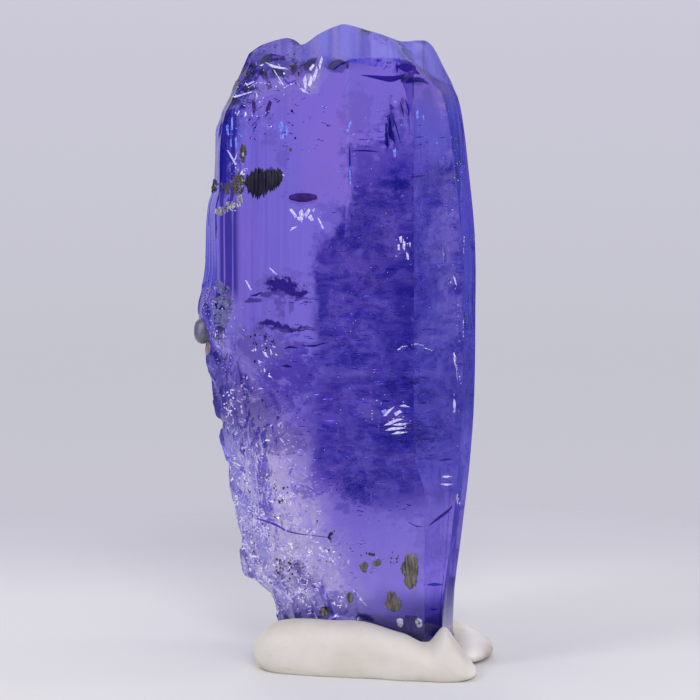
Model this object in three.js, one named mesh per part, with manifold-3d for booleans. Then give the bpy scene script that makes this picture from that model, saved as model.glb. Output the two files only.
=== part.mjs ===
// A rough tanzanite crystal standing in two pieces of white mounting putty.
// Millimetres, +Z up. The broad front face of the crystal looks towards -Y,
// turned a little so that its right edge is the nearest one.

import * as THREE from 'three';
import { mergeVertices } from 'three/addons/utils/BufferGeometryUtils.js';
import Module from 'manifold-3d';

const wasm = await Module();
wasm.setup();

// ---------------------------------------------------------------- driving dimensions

const FACE_TURN = Math.tan(THREE.MathUtils.degToRad(16)); // run of the front face towards the viewer
const PANEL_TURN = Math.tan(THREE.MathUtils.degToRad(40)); // run of the right panel away from the viewer
const FRONT_EDGE_X = 2.33; // upright edge between front face and right panel
const FRONT_EDGE_Y = -2.75;
const EDGE_JOG = 0.36; // the same edge stands further right below the jog
const JOG_LOW = 5.9;
const JOG_HIGH = 7.4;
const THICKNESS = 4.6; // front face to back face, measured along Y
const THICKNESS_LOSS = 0.045; // the crystal thins by this much for each mm downwards
const BELLY_Z = 12; // height at which the section is given

// Corners of the section beside the two broad faces: how far in from the outline they stand, and their y.
const LEFT_POINT_Y = 0.4; // sharpest line of the left end
const LEFT_BEVEL = { inset: 0.45, y: -0.55 }; // between the two narrow faces left of the front face
const FRONT_INSET = 1.0; // left end of the front face
const PANEL_INSET = 0.43; // right end of the right panel
const RIGHT_POINT_Y = 0.1;
const RIGHT_BEVEL = { inset: 0.15, y: 1.0 };
const BACK_RIGHT_INSET = 1.15;
const BACK_LEFT_INSET = 1.45;
const BACK_BEVEL = { inset: 0.5, y: 2.1 };

const CENTRE_X = 0.047; // middle of everything, which becomes the origin
const CENTRE_Y = -0.41;
const FOOT_Z = 0.2; // broken base, held in the putty

// Left and right outline of the crystal, as [height, x].
const LEFT_OUTLINE = [
  [0.0, -2.25], [1.5, -2.45], [2.2, -2.72], [2.5, -3.02], [2.68, -3.42], [4.1, -3.52],
  [5.2, -3.67], [6.5, -3.87], [7.3, -4.07], [8.6, -4.28], [10.0, -4.5], [12.0, -4.57],
  [14.2, -4.55], [15.2, -4.47], [15.8, -4.3], [17.7, -4.17], [18.6, -3.93], [19.6, -3.5],
];
const RIGHT_OUTLINE = [
  [0.0, 3.7], [2.3, 3.76], [4.1, 3.98], [6.5, 4.24], [8.4, 4.38], [12.0, 4.42],
  [14.4, 4.37], [16.6, 4.14], [18.4, 3.9], [19.3, 3.64],
];
const LEFT_AT_BELLY = -4.57;
const RIGHT_AT_BELLY = 4.42;

// Where the upright faces end and the wedge begins, as [x, height].
const FRONT_RIM = [
  [-4.57, 18.3], [-4.1, 18.4], [-3.6, 18.75], [-2.7, 19.05], [-1.42, 19.25], [-0.75, 19.95],
  [0.08, 20.2], [1.9, 20.2], [2.84, 19.8], [3.5, 19.4], [4.42, 18.8],
];
const BACK_RIM = [
  [-4.57, 18.3], [-3.2, 18.9], [-1.0, 19.6], [0.3, 19.85], [1.8, 19.8], [3.4, 19.4], [4.42, 18.8],
];

// Crest of the wedge, as [x, height]: two humps, a chip between them, a flat right end.
const CREST = [
  [-3.1, 20.2], [-2.69, 20.48], [-1.92, 20.73], [-1.6, 20.69], [-1.33, 20.53], [-0.79, 20.88],
  [-0.06, 21.21], [0.34, 21.17], [0.8, 21.04], [1.3, 20.9], [1.9, 20.7], [2.7, 20.7],
  [2.95, 20.5], [3.08, 20.3],
];
const CREST_BEHIND_FACE = [[-3.1, 1.6], [2.0, 1.6], [3.08, 2.3]]; // as [x, distance]

// Columns of points on each face, from the left end round the front to the right end,
// and back again round the rear. Both halves hold the same number.
const FRONT_COLUMNS = [3, 3, 14, 6, 2];
const REAR_COLUMNS = [3, 3, 15, 4, 3];
const ROWS = 50;
const ROW_CROWDING = 1.15; // above 1 the rows stand closer together near the foot
const WEDGE_ROWS = 4;
const KEEL_DROP = 0.05; // the broken base sags by this much along its middle

// Etched lower left: everything left of this line, as [height, x].
const ETCH_EDGE = [
  [0.0, 1.7], [1.3, 1.24], [4.0, -0.1], [7.0, -1.4], [8.7, -1.8], [10.7, -3.6], [12.5, -4.7],
];
const ETCH_FADE = [-0.9, 0.2]; // from the line: fully etched, no longer etched
const ETCH_REAR_SHIFT = -0.9; // the line lies further left on the rear
const ETCH_LOSS = 0.08; // etching takes this much away on average
const ETCH_DEPTH = 0.2; // broad broken flakes
const ETCH_CELL = 0.95;
const PIT_DEPTH = 0.08; // smaller pits on top of them
const PIT_CELL = 0.5;
const CELL_TALLNESS = 1.6; // broken cells are this much taller than wide
const CELL_LEVELS = 1.2; // spread of the heights of neighbouring cells
const CELL_TILT = 1.6;
const ACROSS = [0.9, -0.6]; // direction that the cells are laid along: shares of x and y
const SEED = { front: 3, rear: 20, pits: 7, crust: 40, crown: 60 };

// A shallow growth step right of the middle, high on the front face.
const GROWTH_STEP = 0.05;
const GROWTH_STEP_X = [0.1, 0.2];
const GROWTH_STEP_Z = [13.6, 14.2];

// Chipped left part of the wedge.
const CHIP_DEPTH = 0.12;
const CHIP_CELL = 0.7;
const CHIP_SQUASH = 1.3;
const CHIP_END = [-1.3, -0.7]; // x: fully chipped, no longer chipped
const CHIP_ON_REAR = 0.35;

// Crust that swells out of the left edge round the grey grain.
const CRUST_Z = 11.55;
const CRUST_HALF_HEIGHT = 1.25;
const CRUST_SWELL = 0.34;
const CRUST_STEEPNESS = 1.6;
const CRUST_REACH = [-4.4, -3.4]; // x: full crust, none; further left where the surface turns away in y
const CRUST_REACH_TURN = 0.2;
const CRUST_CELL = 0.5;
const CRUST_FLAKES = 0.08;

const GRAIN_CENTRE = new THREE.Vector3(-4.68, -0.05, 11.0);
const GRAIN_RADII = new THREE.Vector3(0.29, 0.36, 0.45);
const GRAIN_CLEARANCE = 0.04;
const GRAIN_DENTS = 0.05;

const GRAPHITE_X = -2.58;
const GRAPHITE_Z = 16.15;
const GRAPHITE_HALF_WIDTH = 0.64;
const GRAPHITE_HALF_HEIGHT = 0.56;
const GRAPHITE_PROUD = 0.16;
const GRAPHITE_SPOKES = 28;
const GRAPHITE_RINGS = 5;
const GRAPHITE_RAGGED = 0.18; // share of the radius by which the rim varies
const GRAPHITE_DOME = 0.75; // share of the height that is lost at the rim
const RIDGE = { share: 0.45, perMm: 19, lean: 4 }; // upright ridges across the cake

// Bronze-grey flakes lying on the front face: middle x and height, and the ragged
// outline round that middle as [dx, dz].
const FLAKE_THICKNESS = 0.07;
const FLAKE_CLEARANCE = 0.05;
const FLAKES = [
  { x: 2.21, z: 3.42, outline: [
    [0.31, 0.03], [0.28, 0.3], [0.23, 0.56], [0.03, 0.65], [-0.16, 0.6], [-0.21, 0.36], [-0.31, 0.16],
    [-0.3, -0.07], [-0.16, -0.23], [-0.25, -0.43], [-0.16, -0.63], [0.1, -0.65], [0.25, -0.5], [0.23, -0.23],
  ] },
  { x: 1.66, z: 2.35, outline: [
    [0.28, 0.03], [0.13, 0.17], [0.07, 0.33], [-0.1, 0.38], [-0.23, 0.33], [-0.2, 0.12], [-0.27, 0.0],
    [-0.26, -0.23], [-0.13, -0.3], [0.03, -0.4], [0.2, -0.38], [0.28, -0.18],
  ] },
  { x: 0.69, z: 3.45, outline: [
    [0.15, 0.0], [0.16, 0.12], [0.06, 0.2], [-0.05, 0.15], [-0.15, 0.08], [-0.13, -0.05], [-0.05, -0.18],
    [0.11, -0.2], [0.09, -0.09],
  ] },
  { x: 1.12, z: 3.61, outline: [
    [0.15, -0.05], [0.16, 0.1], [0.05, 0.15], [-0.02, 0.08], [-0.12, 0.05], [-0.15, -0.05], [-0.11, -0.13],
    [0.02, -0.12],
  ] },
  { x: 0.24, z: 2.38, outline: [
    [0.12, -0.02], [0.11, 0.15], [0.0, 0.21], [-0.11, 0.18], [-0.13, 0.05], [-0.08, -0.08], [-0.02, -0.21],
    [0.06, -0.15],
  ] },
  { x: -0.58, z: 1.86, outline: [
    [0.16, -0.02], [0.06, 0.02], [0.0, 0.1], [-0.1, 0.18], [-0.18, 0.11], [-0.12, 0.0], [-0.16, -0.13],
    [-0.06, -0.18], [0.0, -0.1], [0.11, -0.15],
  ] },
];

// Putty: a roll pressed against the front, and a lump folded round the right and the rear.
const PUTTY_GAP = 0.06;
const PUTTY_MIDDLE = 0.42; // height of the widest place, as a share of the full height
const BELOW_GROUND = -1; // the pocket for the crystal goes right through the putty
const ROLL_LEFT = [-2.97, -1.95];
const ROLL_RIGHT = [4.4, -3.6];
const ROLL_HALF_DEPTH = 1.15;
const ROLL_LEAN = 0.25; // the top lies this far behind the foot
const ROLL_ROUNDNESS = 7; // larger keeps the roll thick until close to its ends
const ROLL_OVERLAP = 0.3; // cut away again where the crystal stands
const ROLL_TOP = [
  [-2.97, 1.3], [-2.3, 1.52], [-0.5, 1.62], [0.9, 1.58], [2.0, 1.33], [2.8, 1.04],
  [3.35, 1.62], [3.76, 1.2], [4.08, 0.8], [4.4, 0.5],
];
const PUTTY_SQUARENESS = 0.72; // below 1 the roll has a flatter top and steeper sides than an ellipse
const LUMP_ROUTE = [
  new THREE.Vector3(4.1, -2.1, 0), new THREE.Vector3(4.0, 0.2, 0), new THREE.Vector3(3.0, 1.85, 0),
  new THREE.Vector3(1.3, 2.3, 0), new THREE.Vector3(-1.0, 2.75, 0),
];
const LUMP_HALF_WIDTH = 1.05;
const LUMP_TOP = [[0, 0.8], [0.3, 0.75], [0.6, 1.25], [0.85, 1.2], [1, 1]]; // as [share of the route, height]
const LUMP_ROUNDNESS = 4;
const LUMP_WAVE = { share: 0.1, turns: 9 }; // its width comes and goes along the route

// ---------------------------------------------------------------- small helpers

/** Smooth curve through [t, value] points: cubic pieces, the slope at a point is that of its neighbours. */
function along(points, t) {
  const last = points.length - 1;
  if (t <= points[0][0]) return points[0][1];
  if (t >= points[last][0]) return points[last][1];
  let i = 0;
  while (t > points[i + 1][0]) i += 1;
  const [t0, v0] = points[i];
  const [t1, v1] = points[i + 1];
  const before = points[Math.max(i - 1, 0)];
  const after = points[Math.min(i + 2, last)];
  const span = t1 - t0;
  const slope0 = ((v1 - before[1]) / (t1 - before[0])) * span;
  const slope1 = ((after[1] - v0) / (after[0] - t0)) * span;
  const s = (t - t0) / span;
  const rise = s * s * (3 - 2 * s);
  return v0 + (v1 - v0) * rise + slope0 * s * (1 - s) * (1 - s) - slope1 * s * s * (1 - s);
}

function step(low, high, t) {
  return THREE.MathUtils.smoothstep(t, low, high);
}

/** Repeatable number from 0 to 1 for a pair of whole numbers. */
function chance(i, j, seed) {
  const wave = Math.sin(i * 127.1 + j * 311.7 + seed * 74.7) * 43758.5453;
  return wave - Math.floor(wave);
}

/** Broken relief from -1 to 1: flat tilted flakes, one round each scattered point, taller than wide. */
function flakes(across, up, size, seed) {
  const a = across / size;
  const b = up / (size * CELL_TALLNESS);
  let nearest = Infinity;
  let height = 0;
  for (let i = Math.floor(a) - 1; i <= Math.floor(a) + 1; i += 1) {
    for (let j = Math.floor(b) - 1; j <= Math.floor(b) + 1; j += 1) {
      const da = a - i - chance(i, j, seed);
      const db = b - j - chance(i, j, seed + 1);
      const distance = da * da + db * db;
      if (distance < nearest) {
        nearest = distance;
        const tilt = da * (chance(i, j, seed + 2) - 0.5) + db * (chance(i, j, seed + 3) - 0.5);
        height = (chance(i, j, seed + 4) - 0.5) * CELL_LEVELS + tilt * CELL_TILT;
      }
    }
  }
  return height;
}

// ---------------------------------------------------------------- crystal

function frontFaceY(x) {
  return FRONT_EDGE_Y - (x - FRONT_EDGE_X) * FACE_TURN;
}

/** The ten corners of the crystal's section at a height, left end first, round the front. */
function corners(z) {
  const left = along(LEFT_OUTLINE, z);
  const right = along(RIGHT_OUTLINE, z);
  const edge = FRONT_EDGE_X + EDGE_JOG * (1 - step(JOG_LOW, JOG_HIGH, z));
  const back = THICKNESS - (BELLY_Z - z) * THICKNESS_LOSS;
  const frontLeftX = left + FRONT_INSET;
  const panelX = right - PANEL_INSET;
  const backLeftX = left + BACK_LEFT_INSET;
  const backRightX = right - BACK_RIGHT_INSET;
  return [
    [left, LEFT_POINT_Y],
    [left + LEFT_BEVEL.inset, LEFT_BEVEL.y],
    [frontLeftX, frontFaceY(frontLeftX)],
    [edge, frontFaceY(edge)],
    [panelX, frontFaceY(edge) + (panelX - edge) * PANEL_TURN],
    [right, RIGHT_POINT_Y],
    [right - RIGHT_BEVEL.inset, RIGHT_BEVEL.y],
    [backRightX, frontFaceY(backRightX) + back],
    [backLeftX, frontFaceY(backLeftX) + back],
    [left + BACK_BEVEL.inset, BACK_BEVEL.y],
  ];
}

const FRONT_FACES = FRONT_COLUMNS.length;
const HALF = FRONT_COLUMNS.reduce((sum, n) => sum + n, 0);
const COLUMNS = 2 * HALF;

/** For each column: the face it stands on and how far along that face it is. */
function layColumns() {
  const list = [];
  [...FRONT_COLUMNS, ...REAR_COLUMNS].forEach((count, face) => {
    for (let i = 0; i < count; i += 1) list.push({ face, share: i / count, rear: face >= FRONT_FACES });
  });
  return list;
}

/** Point of a column at a height, before relief, with the outward direction of its face. */
function onPrism(column, z) {
  const ring = corners(z);
  const [ax, ay] = ring[column.face];
  const [bx, by] = ring[(column.face + 1) % ring.length];
  const length = Math.hypot(bx - ax, by - ay);
  return {
    x: ax + (bx - ax) * column.share,
    y: ay + (by - ay) * column.share,
    outX: (by - ay) / length,
    outY: -(bx - ax) / length,
  };
}

/** How strongly a place is etched, 0 to 1: the lower left, less on the rear. */
function etched(x, z, rear) {
  const line = along(ETCH_EDGE, z) + (rear ? ETCH_REAR_SHIFT : 0);
  return 1 - step(line + ETCH_FADE[0], line + ETCH_FADE[1], x);
}

/** How far the surface stands out (+) or in (-) from the flat face. */
function relief(point, z, rear) {
  const across = point.x * ACROSS[0] + point.y * ACROSS[1];
  const seed = rear ? SEED.rear : SEED.front;
  const broken = flakes(across, z, ETCH_CELL, seed) * ETCH_DEPTH;
  const pits = flakes(across, z, PIT_CELL, seed + SEED.pits) * PIT_DEPTH;
  const etch = etched(point.x, z, rear) * (broken + pits - ETCH_LOSS);
  const onLeft = 1 - step(...CRUST_REACH, point.x + Math.abs(point.y) * CRUST_REACH_TURN);
  const crust = onLeft * Math.exp(-CRUST_STEEPNESS * ((z - CRUST_Z) / CRUST_HALF_HEIGHT) ** 2);
  const swell = crust * (CRUST_SWELL + flakes(across, z, CRUST_CELL, SEED.crust) * CRUST_FLAKES);
  const growth = GROWTH_STEP * step(...GROWTH_STEP_X, point.x) * step(...GROWTH_STEP_Z, z) * (rear ? 0 : 1);
  return etch + swell - growth;
}

/** Closed skin of the crystal down to `foot`, everywhere `grow` mm outside its true surface. */
function crystalSkin(grow, foot) {
  const columns = layColumns();
  const ridgeEnds = [CREST[0][0], CREST[CREST.length - 1][0]];
  const points = [];
  const columnX = columns.map((column) => onPrism(column, BELLY_Z).x);
  const rimOf = columns.map((column, c) => along(column.rear ? BACK_RIM : FRONT_RIM, columnX[c]));

  const place = (column, z) => {
    const p = onPrism(column, z);
    const out = relief(p, z, column.rear) + grow;
    return new THREE.Vector3(p.x + p.outX * out, p.y + p.outY * out, z);
  };
  for (let r = 0; r <= ROWS; r += 1) {
    const share = (r / ROWS) ** ROW_CROWDING;
    columns.forEach((column, c) => points.push(place(column, foot + (rimOf[c] - foot) * share)));
  }
  const rimStart = ROWS * COLUMNS;

  // Wedge: each column runs on from the rim to its place on the crest.
  const crest = [];
  for (let k = 0; k <= HALF; k += 1) {
    const share = (columnX[k] - LEFT_AT_BELLY) / (RIGHT_AT_BELLY - LEFT_AT_BELLY);
    const x = THREE.MathUtils.lerp(ridgeEnds[0], ridgeEnds[1], share);
    crest.push(new THREE.Vector3(x, frontFaceY(x) + along(CREST_BEHIND_FACE, x), along(CREST, x) + grow));
  }
  const crestIndex = (c) => (c <= HALF ? c : COLUMNS - c);
  const wedgeStart = points.length;
  for (let r = 1; r < WEDGE_ROWS; r += 1) {
    columns.forEach((column, c) => {
      const share = r / WEDGE_ROWS;
      const p = points[rimStart + c].clone().lerp(crest[crestIndex(c)], share);
      const chipped = column.rear ? CHIP_ON_REAR : 1 - step(...CHIP_END, p.x);
      const chips = flakes(p.x, p.z * CHIP_SQUASH, CHIP_CELL, SEED.crown) * CHIP_DEPTH;
      p.z += chipped * chips * Math.sin(Math.PI * share);
      points.push(p);
    });
  }
  const crestStart = points.length;
  points.push(...crest);

  // Base: the same, down to a keel under the middle of the section.
  const keelStart = points.length;
  for (let k = 0; k <= HALF; k += 1) {
    const middle = points[k].clone().lerp(points[k === 0 || k === HALF ? k : COLUMNS - k], 0.5);
    middle.z = foot - KEEL_DROP * Math.sin((Math.PI * k) / HALF);
    points.push(middle);
  }

  const triangles = [];
  const quad = (a, b, c, d) => triangles.push(a, b, c, a, c, d);
  const next = (c) => (c + 1) % COLUMNS;
  for (let r = 0; r < ROWS; r += 1) {
    for (let c = 0; c < COLUMNS; c += 1) {
      quad(r * COLUMNS + c, r * COLUMNS + next(c), (r + 1) * COLUMNS + next(c), (r + 1) * COLUMNS + c);
    }
  }
  const wedgeRow = (r, c) => {
    if (r === 0) return rimStart + c;
    return r === WEDGE_ROWS ? crestStart + crestIndex(c) : wedgeStart + (r - 1) * COLUMNS + c;
  };
  for (let r = 0; r < WEDGE_ROWS; r += 1) {
    for (let c = 0; c < COLUMNS; c += 1) {
      quad(wedgeRow(r, c), wedgeRow(r, next(c)), wedgeRow(r + 1, next(c)), wedgeRow(r + 1, c));
    }
  }
  for (let c = 0; c < COLUMNS; c += 1) {
    quad(c, keelStart + crestIndex(c), keelStart + crestIndex(next(c)), next(c));
  }
  return buildGeometry(points, triangles);
}

// ---------------------------------------------------------------- solids and meshes

const SAME_PLACE = 1e-6; // mm
const MERGE_WITHIN = 1e-5;

/** Geometry from points and triangles; triangles that shrank to a line are dropped. */
function buildGeometry(points, triangles) {
  const flat = new Float32Array(points.length * 3);
  points.forEach((p, i) => p.toArray(flat, i * 3));
  const kept = [];
  for (let t = 0; t < triangles.length; t += 3) {
    const [a, b, c] = [points[triangles[t]], points[triangles[t + 1]], points[triangles[t + 2]]];
    const shortest = Math.min(a.distanceTo(b), b.distanceTo(c), c.distanceTo(a));
    if (shortest > SAME_PLACE) kept.push(triangles[t], triangles[t + 1], triangles[t + 2]);
  }
  const geometry = new THREE.BufferGeometry();
  geometry.setAttribute('position', new THREE.BufferAttribute(flat, 3));
  geometry.setIndex(kept);
  return geometry;
}

function toSolid(geometry) {
  const bare = geometry.clone();
  bare.deleteAttribute('normal');
  bare.deleteAttribute('uv');
  const merged = mergeVertices(bare, MERGE_WITHIN);
  return new wasm.Manifold(new wasm.Mesh({
    numProp: 3,
    vertProperties: new Float32Array(merged.attributes.position.array),
    triVerts: new Uint32Array(merged.index.array),
  }));
}

function toGeometry(solid) {
  const mesh = solid.getMesh();
  const geometry = new THREE.BufferGeometry();
  geometry.setAttribute('position', new THREE.BufferAttribute(new Float32Array(mesh.vertProperties), 3));
  geometry.setIndex(Array.from(mesh.triVerts));
  return geometry;
}

function finish(name, geometry, colour, roughness, metalness) {
  const shaded = geometry.clone();
  shaded.computeVertexNormals();
  const material = new THREE.MeshStandardMaterial({ color: colour, roughness, metalness });
  const mesh = new THREE.Mesh(shaded, material);
  mesh.name = name;
  return mesh;
}

// ---------------------------------------------------------------- grains and flakes

/** Rounded grain with a few flat sides, `grow` mm larger all round when it is used as a cutter. */
function grainGeometry(grow) {
  const ball = new THREE.SphereGeometry(1, 18, 12);
  const at = ball.attributes.position;
  const p = new THREE.Vector3();
  for (let i = 0; i < at.count; i += 1) {
    p.fromBufferAttribute(at, i);
    const lump = 1 + GRAIN_DENTS * Math.sin(3 * p.x + 2) * Math.cos(4 * p.z + p.y);
    p.multiplyScalar(lump);
    p.set(p.x * (GRAIN_RADII.x + grow), p.y * (GRAIN_RADII.y + grow), p.z * (GRAIN_RADII.z + grow));
    p.add(GRAIN_CENTRE);
    at.setXYZ(i, p.x, p.y, p.z);
  }
  return ball;
}

/** Graphite: a flat cake of upright ridges with a ragged rim, lying on the front face. */
function graphiteGeometry() {
  const points = [];
  const triangles = [];
  const under = frontFaceY(GRAPHITE_X) - FLAKE_CLEARANCE;
  const lay = (share, spoke, proud) => {
    const angle = (2 * Math.PI * spoke) / GRAPHITE_SPOKES;
    const reach = share * (1 - GRAPHITE_RAGGED + GRAPHITE_RAGGED * chance(spoke, 5, 9));
    const dx = Math.cos(angle) * reach * GRAPHITE_HALF_WIDTH;
    const dz = Math.sin(angle) * reach * GRAPHITE_HALF_HEIGHT;
    const ridge = 1 - RIDGE.share + RIDGE.share * Math.abs(Math.sin(dx * RIDGE.perMm + dz * RIDGE.lean));
    const out = proud * GRAPHITE_PROUD * (1 - GRAPHITE_DOME * share * share) * ridge;
    points.push(new THREE.Vector3(GRAPHITE_X + dx, under - dx * FACE_TURN - out, GRAPHITE_Z + dz));
  };
  lay(0, 0, 1);
  for (let r = 1; r <= GRAPHITE_RINGS; r += 1) {
    for (let s = 0; s < GRAPHITE_SPOKES; s += 1) lay(r / GRAPHITE_RINGS, s, 1);
  }
  const rim = 1 + (GRAPHITE_RINGS - 1) * GRAPHITE_SPOKES;
  const back = points.length;
  const middle = back + GRAPHITE_SPOKES;
  for (let s = 0; s < GRAPHITE_SPOKES; s += 1) lay(1, s, 0);
  lay(0, 0, 0);
  for (let s = 0; s < GRAPHITE_SPOKES; s += 1) {
    const n = (s + 1) % GRAPHITE_SPOKES;
    triangles.push(0, 1 + s, 1 + n);
    for (let a = 1; a < rim; a += GRAPHITE_SPOKES) {
      const b = a + GRAPHITE_SPOKES;
      triangles.push(a + s, b + s, b + n, a + s, b + n, a + n);
    }
    triangles.push(rim + s, back + s, back + n, rim + s, back + n, rim + n);
    triangles.push(back + s, middle, back + n);
  }
  return buildGeometry(points, triangles);
}

/** A thin flake of the given outline, laid on the front face. */
function flakeGeometry(flake) {
  const outline = new THREE.Shape(flake.outline.map(([dx, dz]) => new THREE.Vector2(dx, dz)));
  const plate = new THREE.ExtrudeGeometry(outline, { depth: FLAKE_THICKNESS, bevelEnabled: false });
  plate.rotateX(Math.PI / 2);
  plate.rotateZ(-Math.atan(FACE_TURN));
  return plate.translate(flake.x, frontFaceY(flake.x) - FLAKE_CLEARANCE, flake.z);
}

// ---------------------------------------------------------------- putty

/**
 * Skin of a soft roll. `section(t, angle)` gives its point; t runs from end to end, closer together near
 * the ends, and both ends close in one point.
 */
function rollGeometry(stations, spokes, section) {
  const points = [section(0, 0)];
  for (let s = 1; s < stations; s += 1) {
    const t = 0.5 - 0.5 * Math.cos((Math.PI * s) / stations);
    for (let a = 0; a < spokes; a += 1) points.push(section(t, (2 * Math.PI * a) / spokes));
  }
  points.push(section(1, 0));
  const tip = points.length - 1;
  const triangles = [];
  for (let a = 0; a < spokes; a += 1) {
    const b = (a + 1) % spokes;
    triangles.push(0, 1 + b, 1 + a);
    for (let s = 0; s < stations - 2; s += 1) {
      const row = 1 + s * spokes;
      triangles.push(row + a, row + b, row + spokes + b, row + a, row + spokes + b, row + spokes + a);
    }
    const row = 1 + (stations - 2) * spokes;
    triangles.push(row + a, row + b, tip);
  }
  return buildGeometry(points, triangles);
}

/** Cosine or sine of an ellipse's angle, made squarer. */
function squared(value) {
  return Math.sign(value) * Math.abs(value) ** PUTTY_SQUARENESS;
}

/** How full a roll is along its length, 0 at its ends and 1 in its middle. */
function fullnessAt(t, roundness) {
  return Math.sqrt(Math.max(0, 1 - Math.abs(2 * t - 1) ** roundness));
}

/** Roll in front, flat underneath; its rear reaches a little way into the crystal's place. */
function puttyRoll() {
  return rollGeometry(34, 18, (t, angle) => {
    const x = THREE.MathUtils.lerp(ROLL_LEFT[0], ROLL_RIGHT[0], t);
    const y0 = THREE.MathUtils.lerp(ROLL_LEFT[1], ROLL_RIGHT[1], t);
    const fullness = fullnessAt(t, ROLL_ROUNDNESS);
    const top = along(ROLL_TOP, x);
    const middle = top * PUTTY_MIDDLE;
    const z = Math.max(0, middle + squared(Math.sin(angle)) * (top - middle) * fullness);
    const y = y0 + squared(Math.cos(angle)) * ROLL_HALF_DEPTH * fullness + ROLL_LEAN * (z / top);
    const stop = x < FRONT_EDGE_X + EDGE_JOG ? frontFaceY(x) + ROLL_OVERLAP : Infinity;
    return new THREE.Vector3(x, Math.min(y, stop), z);
  });
}

/** Lump behind: follows a bent route round the right side and the rear of the base. */
function puttyLump() {
  const route = new THREE.CatmullRomCurve3(LUMP_ROUTE);
  return rollGeometry(30, 16, (t, angle) => {
    const at = route.getPoint(t);
    const heading = route.getTangent(t);
    const fullness = fullnessAt(t, LUMP_ROUNDNESS);
    const top = along(LUMP_TOP, t);
    const middle = top * PUTTY_MIDDLE;
    const wave = 1 - LUMP_WAVE.share + LUMP_WAVE.share * Math.sin(LUMP_WAVE.turns * t);
    const out = Math.cos(angle) * LUMP_HALF_WIDTH * fullness * wave;
    const z = Math.max(0, middle + Math.sin(angle) * (top - middle) * fullness);
    return new THREE.Vector3(at.x - heading.y * out, at.y + heading.x * out, z);
  });
}

// ---------------------------------------------------------------- assembly

const crystal = toSolid(crystalSkin(0, FOOT_Z)).subtract(toSolid(grainGeometry(GRAIN_CLEARANCE)));
const pocket = toSolid(crystalSkin(PUTTY_GAP, BELOW_GROUND));

const model = new THREE.Group();
model.position.set(-CENTRE_X, -CENTRE_Y, 0);
model.add(finish('tanzanite_crystal', toGeometry(crystal), 0x6a5acb, 0.08, 0));
model.add(finish('grey_grain', grainGeometry(0), 0x66657f, 0.35, 0));
model.add(finish('graphite_cluster', graphiteGeometry(), 0x24222c, 0.55, 0.4));
FLAKES.forEach((flake, i) => {
  model.add(finish(`bronze_flake_${i + 1}`, flakeGeometry(flake), 0x6b665c, 0.4, 0.75));
});
model.add(finish('putty_roll', toGeometry(toSolid(puttyRoll()).subtract(pocket)), 0xe0dad6, 0.8, 0));
model.add(finish('putty_lump', toGeometry(toSolid(puttyLump()).subtract(pocket)), 0xdcd6d0, 0.8, 0));

export default model;
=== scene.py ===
"""Rough tanzanite crystal on mounting putty: surfaces, finishes, light and camera.

All measures are in millimetres and in the crystal's own working frame, which is the row's frame moved by
CENTRE. Meshes are turned into metres in one place, in new_mesh().
"""

import math

import bpy
import numpy as np
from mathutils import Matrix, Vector


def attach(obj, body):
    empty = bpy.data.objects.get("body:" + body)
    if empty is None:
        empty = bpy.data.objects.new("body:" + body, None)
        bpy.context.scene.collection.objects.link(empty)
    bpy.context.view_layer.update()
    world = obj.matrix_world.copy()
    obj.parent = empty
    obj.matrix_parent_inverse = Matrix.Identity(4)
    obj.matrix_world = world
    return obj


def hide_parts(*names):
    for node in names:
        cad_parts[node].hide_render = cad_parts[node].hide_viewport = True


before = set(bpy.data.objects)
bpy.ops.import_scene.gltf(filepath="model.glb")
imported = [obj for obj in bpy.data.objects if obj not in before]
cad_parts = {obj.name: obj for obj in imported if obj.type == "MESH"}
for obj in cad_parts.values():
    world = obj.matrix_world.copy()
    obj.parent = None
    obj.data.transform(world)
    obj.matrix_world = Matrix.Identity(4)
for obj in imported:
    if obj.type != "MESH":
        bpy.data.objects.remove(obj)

MM = 0.001
CENTRE = np.array([0.047, -0.41, 0.0])  # the row's origin, seen from the crystal's working frame

# ------------------------------------------------------------------ measures of the crystal

FACE_TURN = math.tan(math.radians(16))  # run of the front face towards the viewer
PANEL_TURN = math.tan(math.radians(40))  # run of the right panel away from the viewer
FRONT_EDGE = (2.33, -2.75)  # upright edge between front face and right panel
EDGE_JOG, JOG_LOW, JOG_HIGH = 0.36, 5.9, 7.4
THICKNESS, THICKNESS_LOSS = 4.6, 0.045
BELLY_Z = 12.0
FOOT_Z = 0.2

LEFT_OUTLINE = [
    (0.0, -2.25), (1.5, -2.45), (2.2, -2.72), (2.5, -3.02), (2.68, -3.42), (4.1, -3.52),
    (5.2, -3.67), (6.5, -3.87), (7.3, -4.07), (8.6, -4.28), (10.0, -4.5), (12.0, -4.57),
    (14.2, -4.55), (15.2, -4.47), (15.8, -4.3), (17.7, -4.17), (18.6, -3.93), (19.6, -3.5),
]
RIGHT_OUTLINE = [
    (0.0, 3.7), (2.3, 3.76), (4.1, 3.98), (6.5, 4.24), (8.4, 4.38), (12.0, 4.42),
    (14.4, 4.37), (16.6, 4.14), (18.4, 3.9), (19.3, 3.64),
]
LEFT_AT_BELLY, RIGHT_AT_BELLY = -4.57, 4.42
FRONT_RIM = [
    (-4.57, 18.3), (-4.1, 18.4), (-3.6, 18.75), (-2.7, 19.05), (-1.42, 19.25), (-0.75, 19.95),
    (0.08, 20.2), (1.9, 20.2), (2.84, 19.8), (3.5, 19.4), (4.42, 18.8),
]
BACK_RIM = [(-4.57, 18.3), (-3.2, 18.9), (-1.0, 19.6), (0.3, 19.85), (1.8, 19.8), (3.4, 19.4), (4.42, 18.8)]
CREST = [
    (-3.1, 20.2), (-2.69, 20.48), (-1.92, 20.73), (-1.6, 20.69), (-1.33, 20.53), (-0.79, 20.88),
    (-0.06, 21.21), (0.34, 21.17), (0.8, 21.04), (1.3, 20.9), (1.9, 20.7), (2.7, 20.7),
    (2.95, 20.5), (3.08, 20.3),
]
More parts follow.
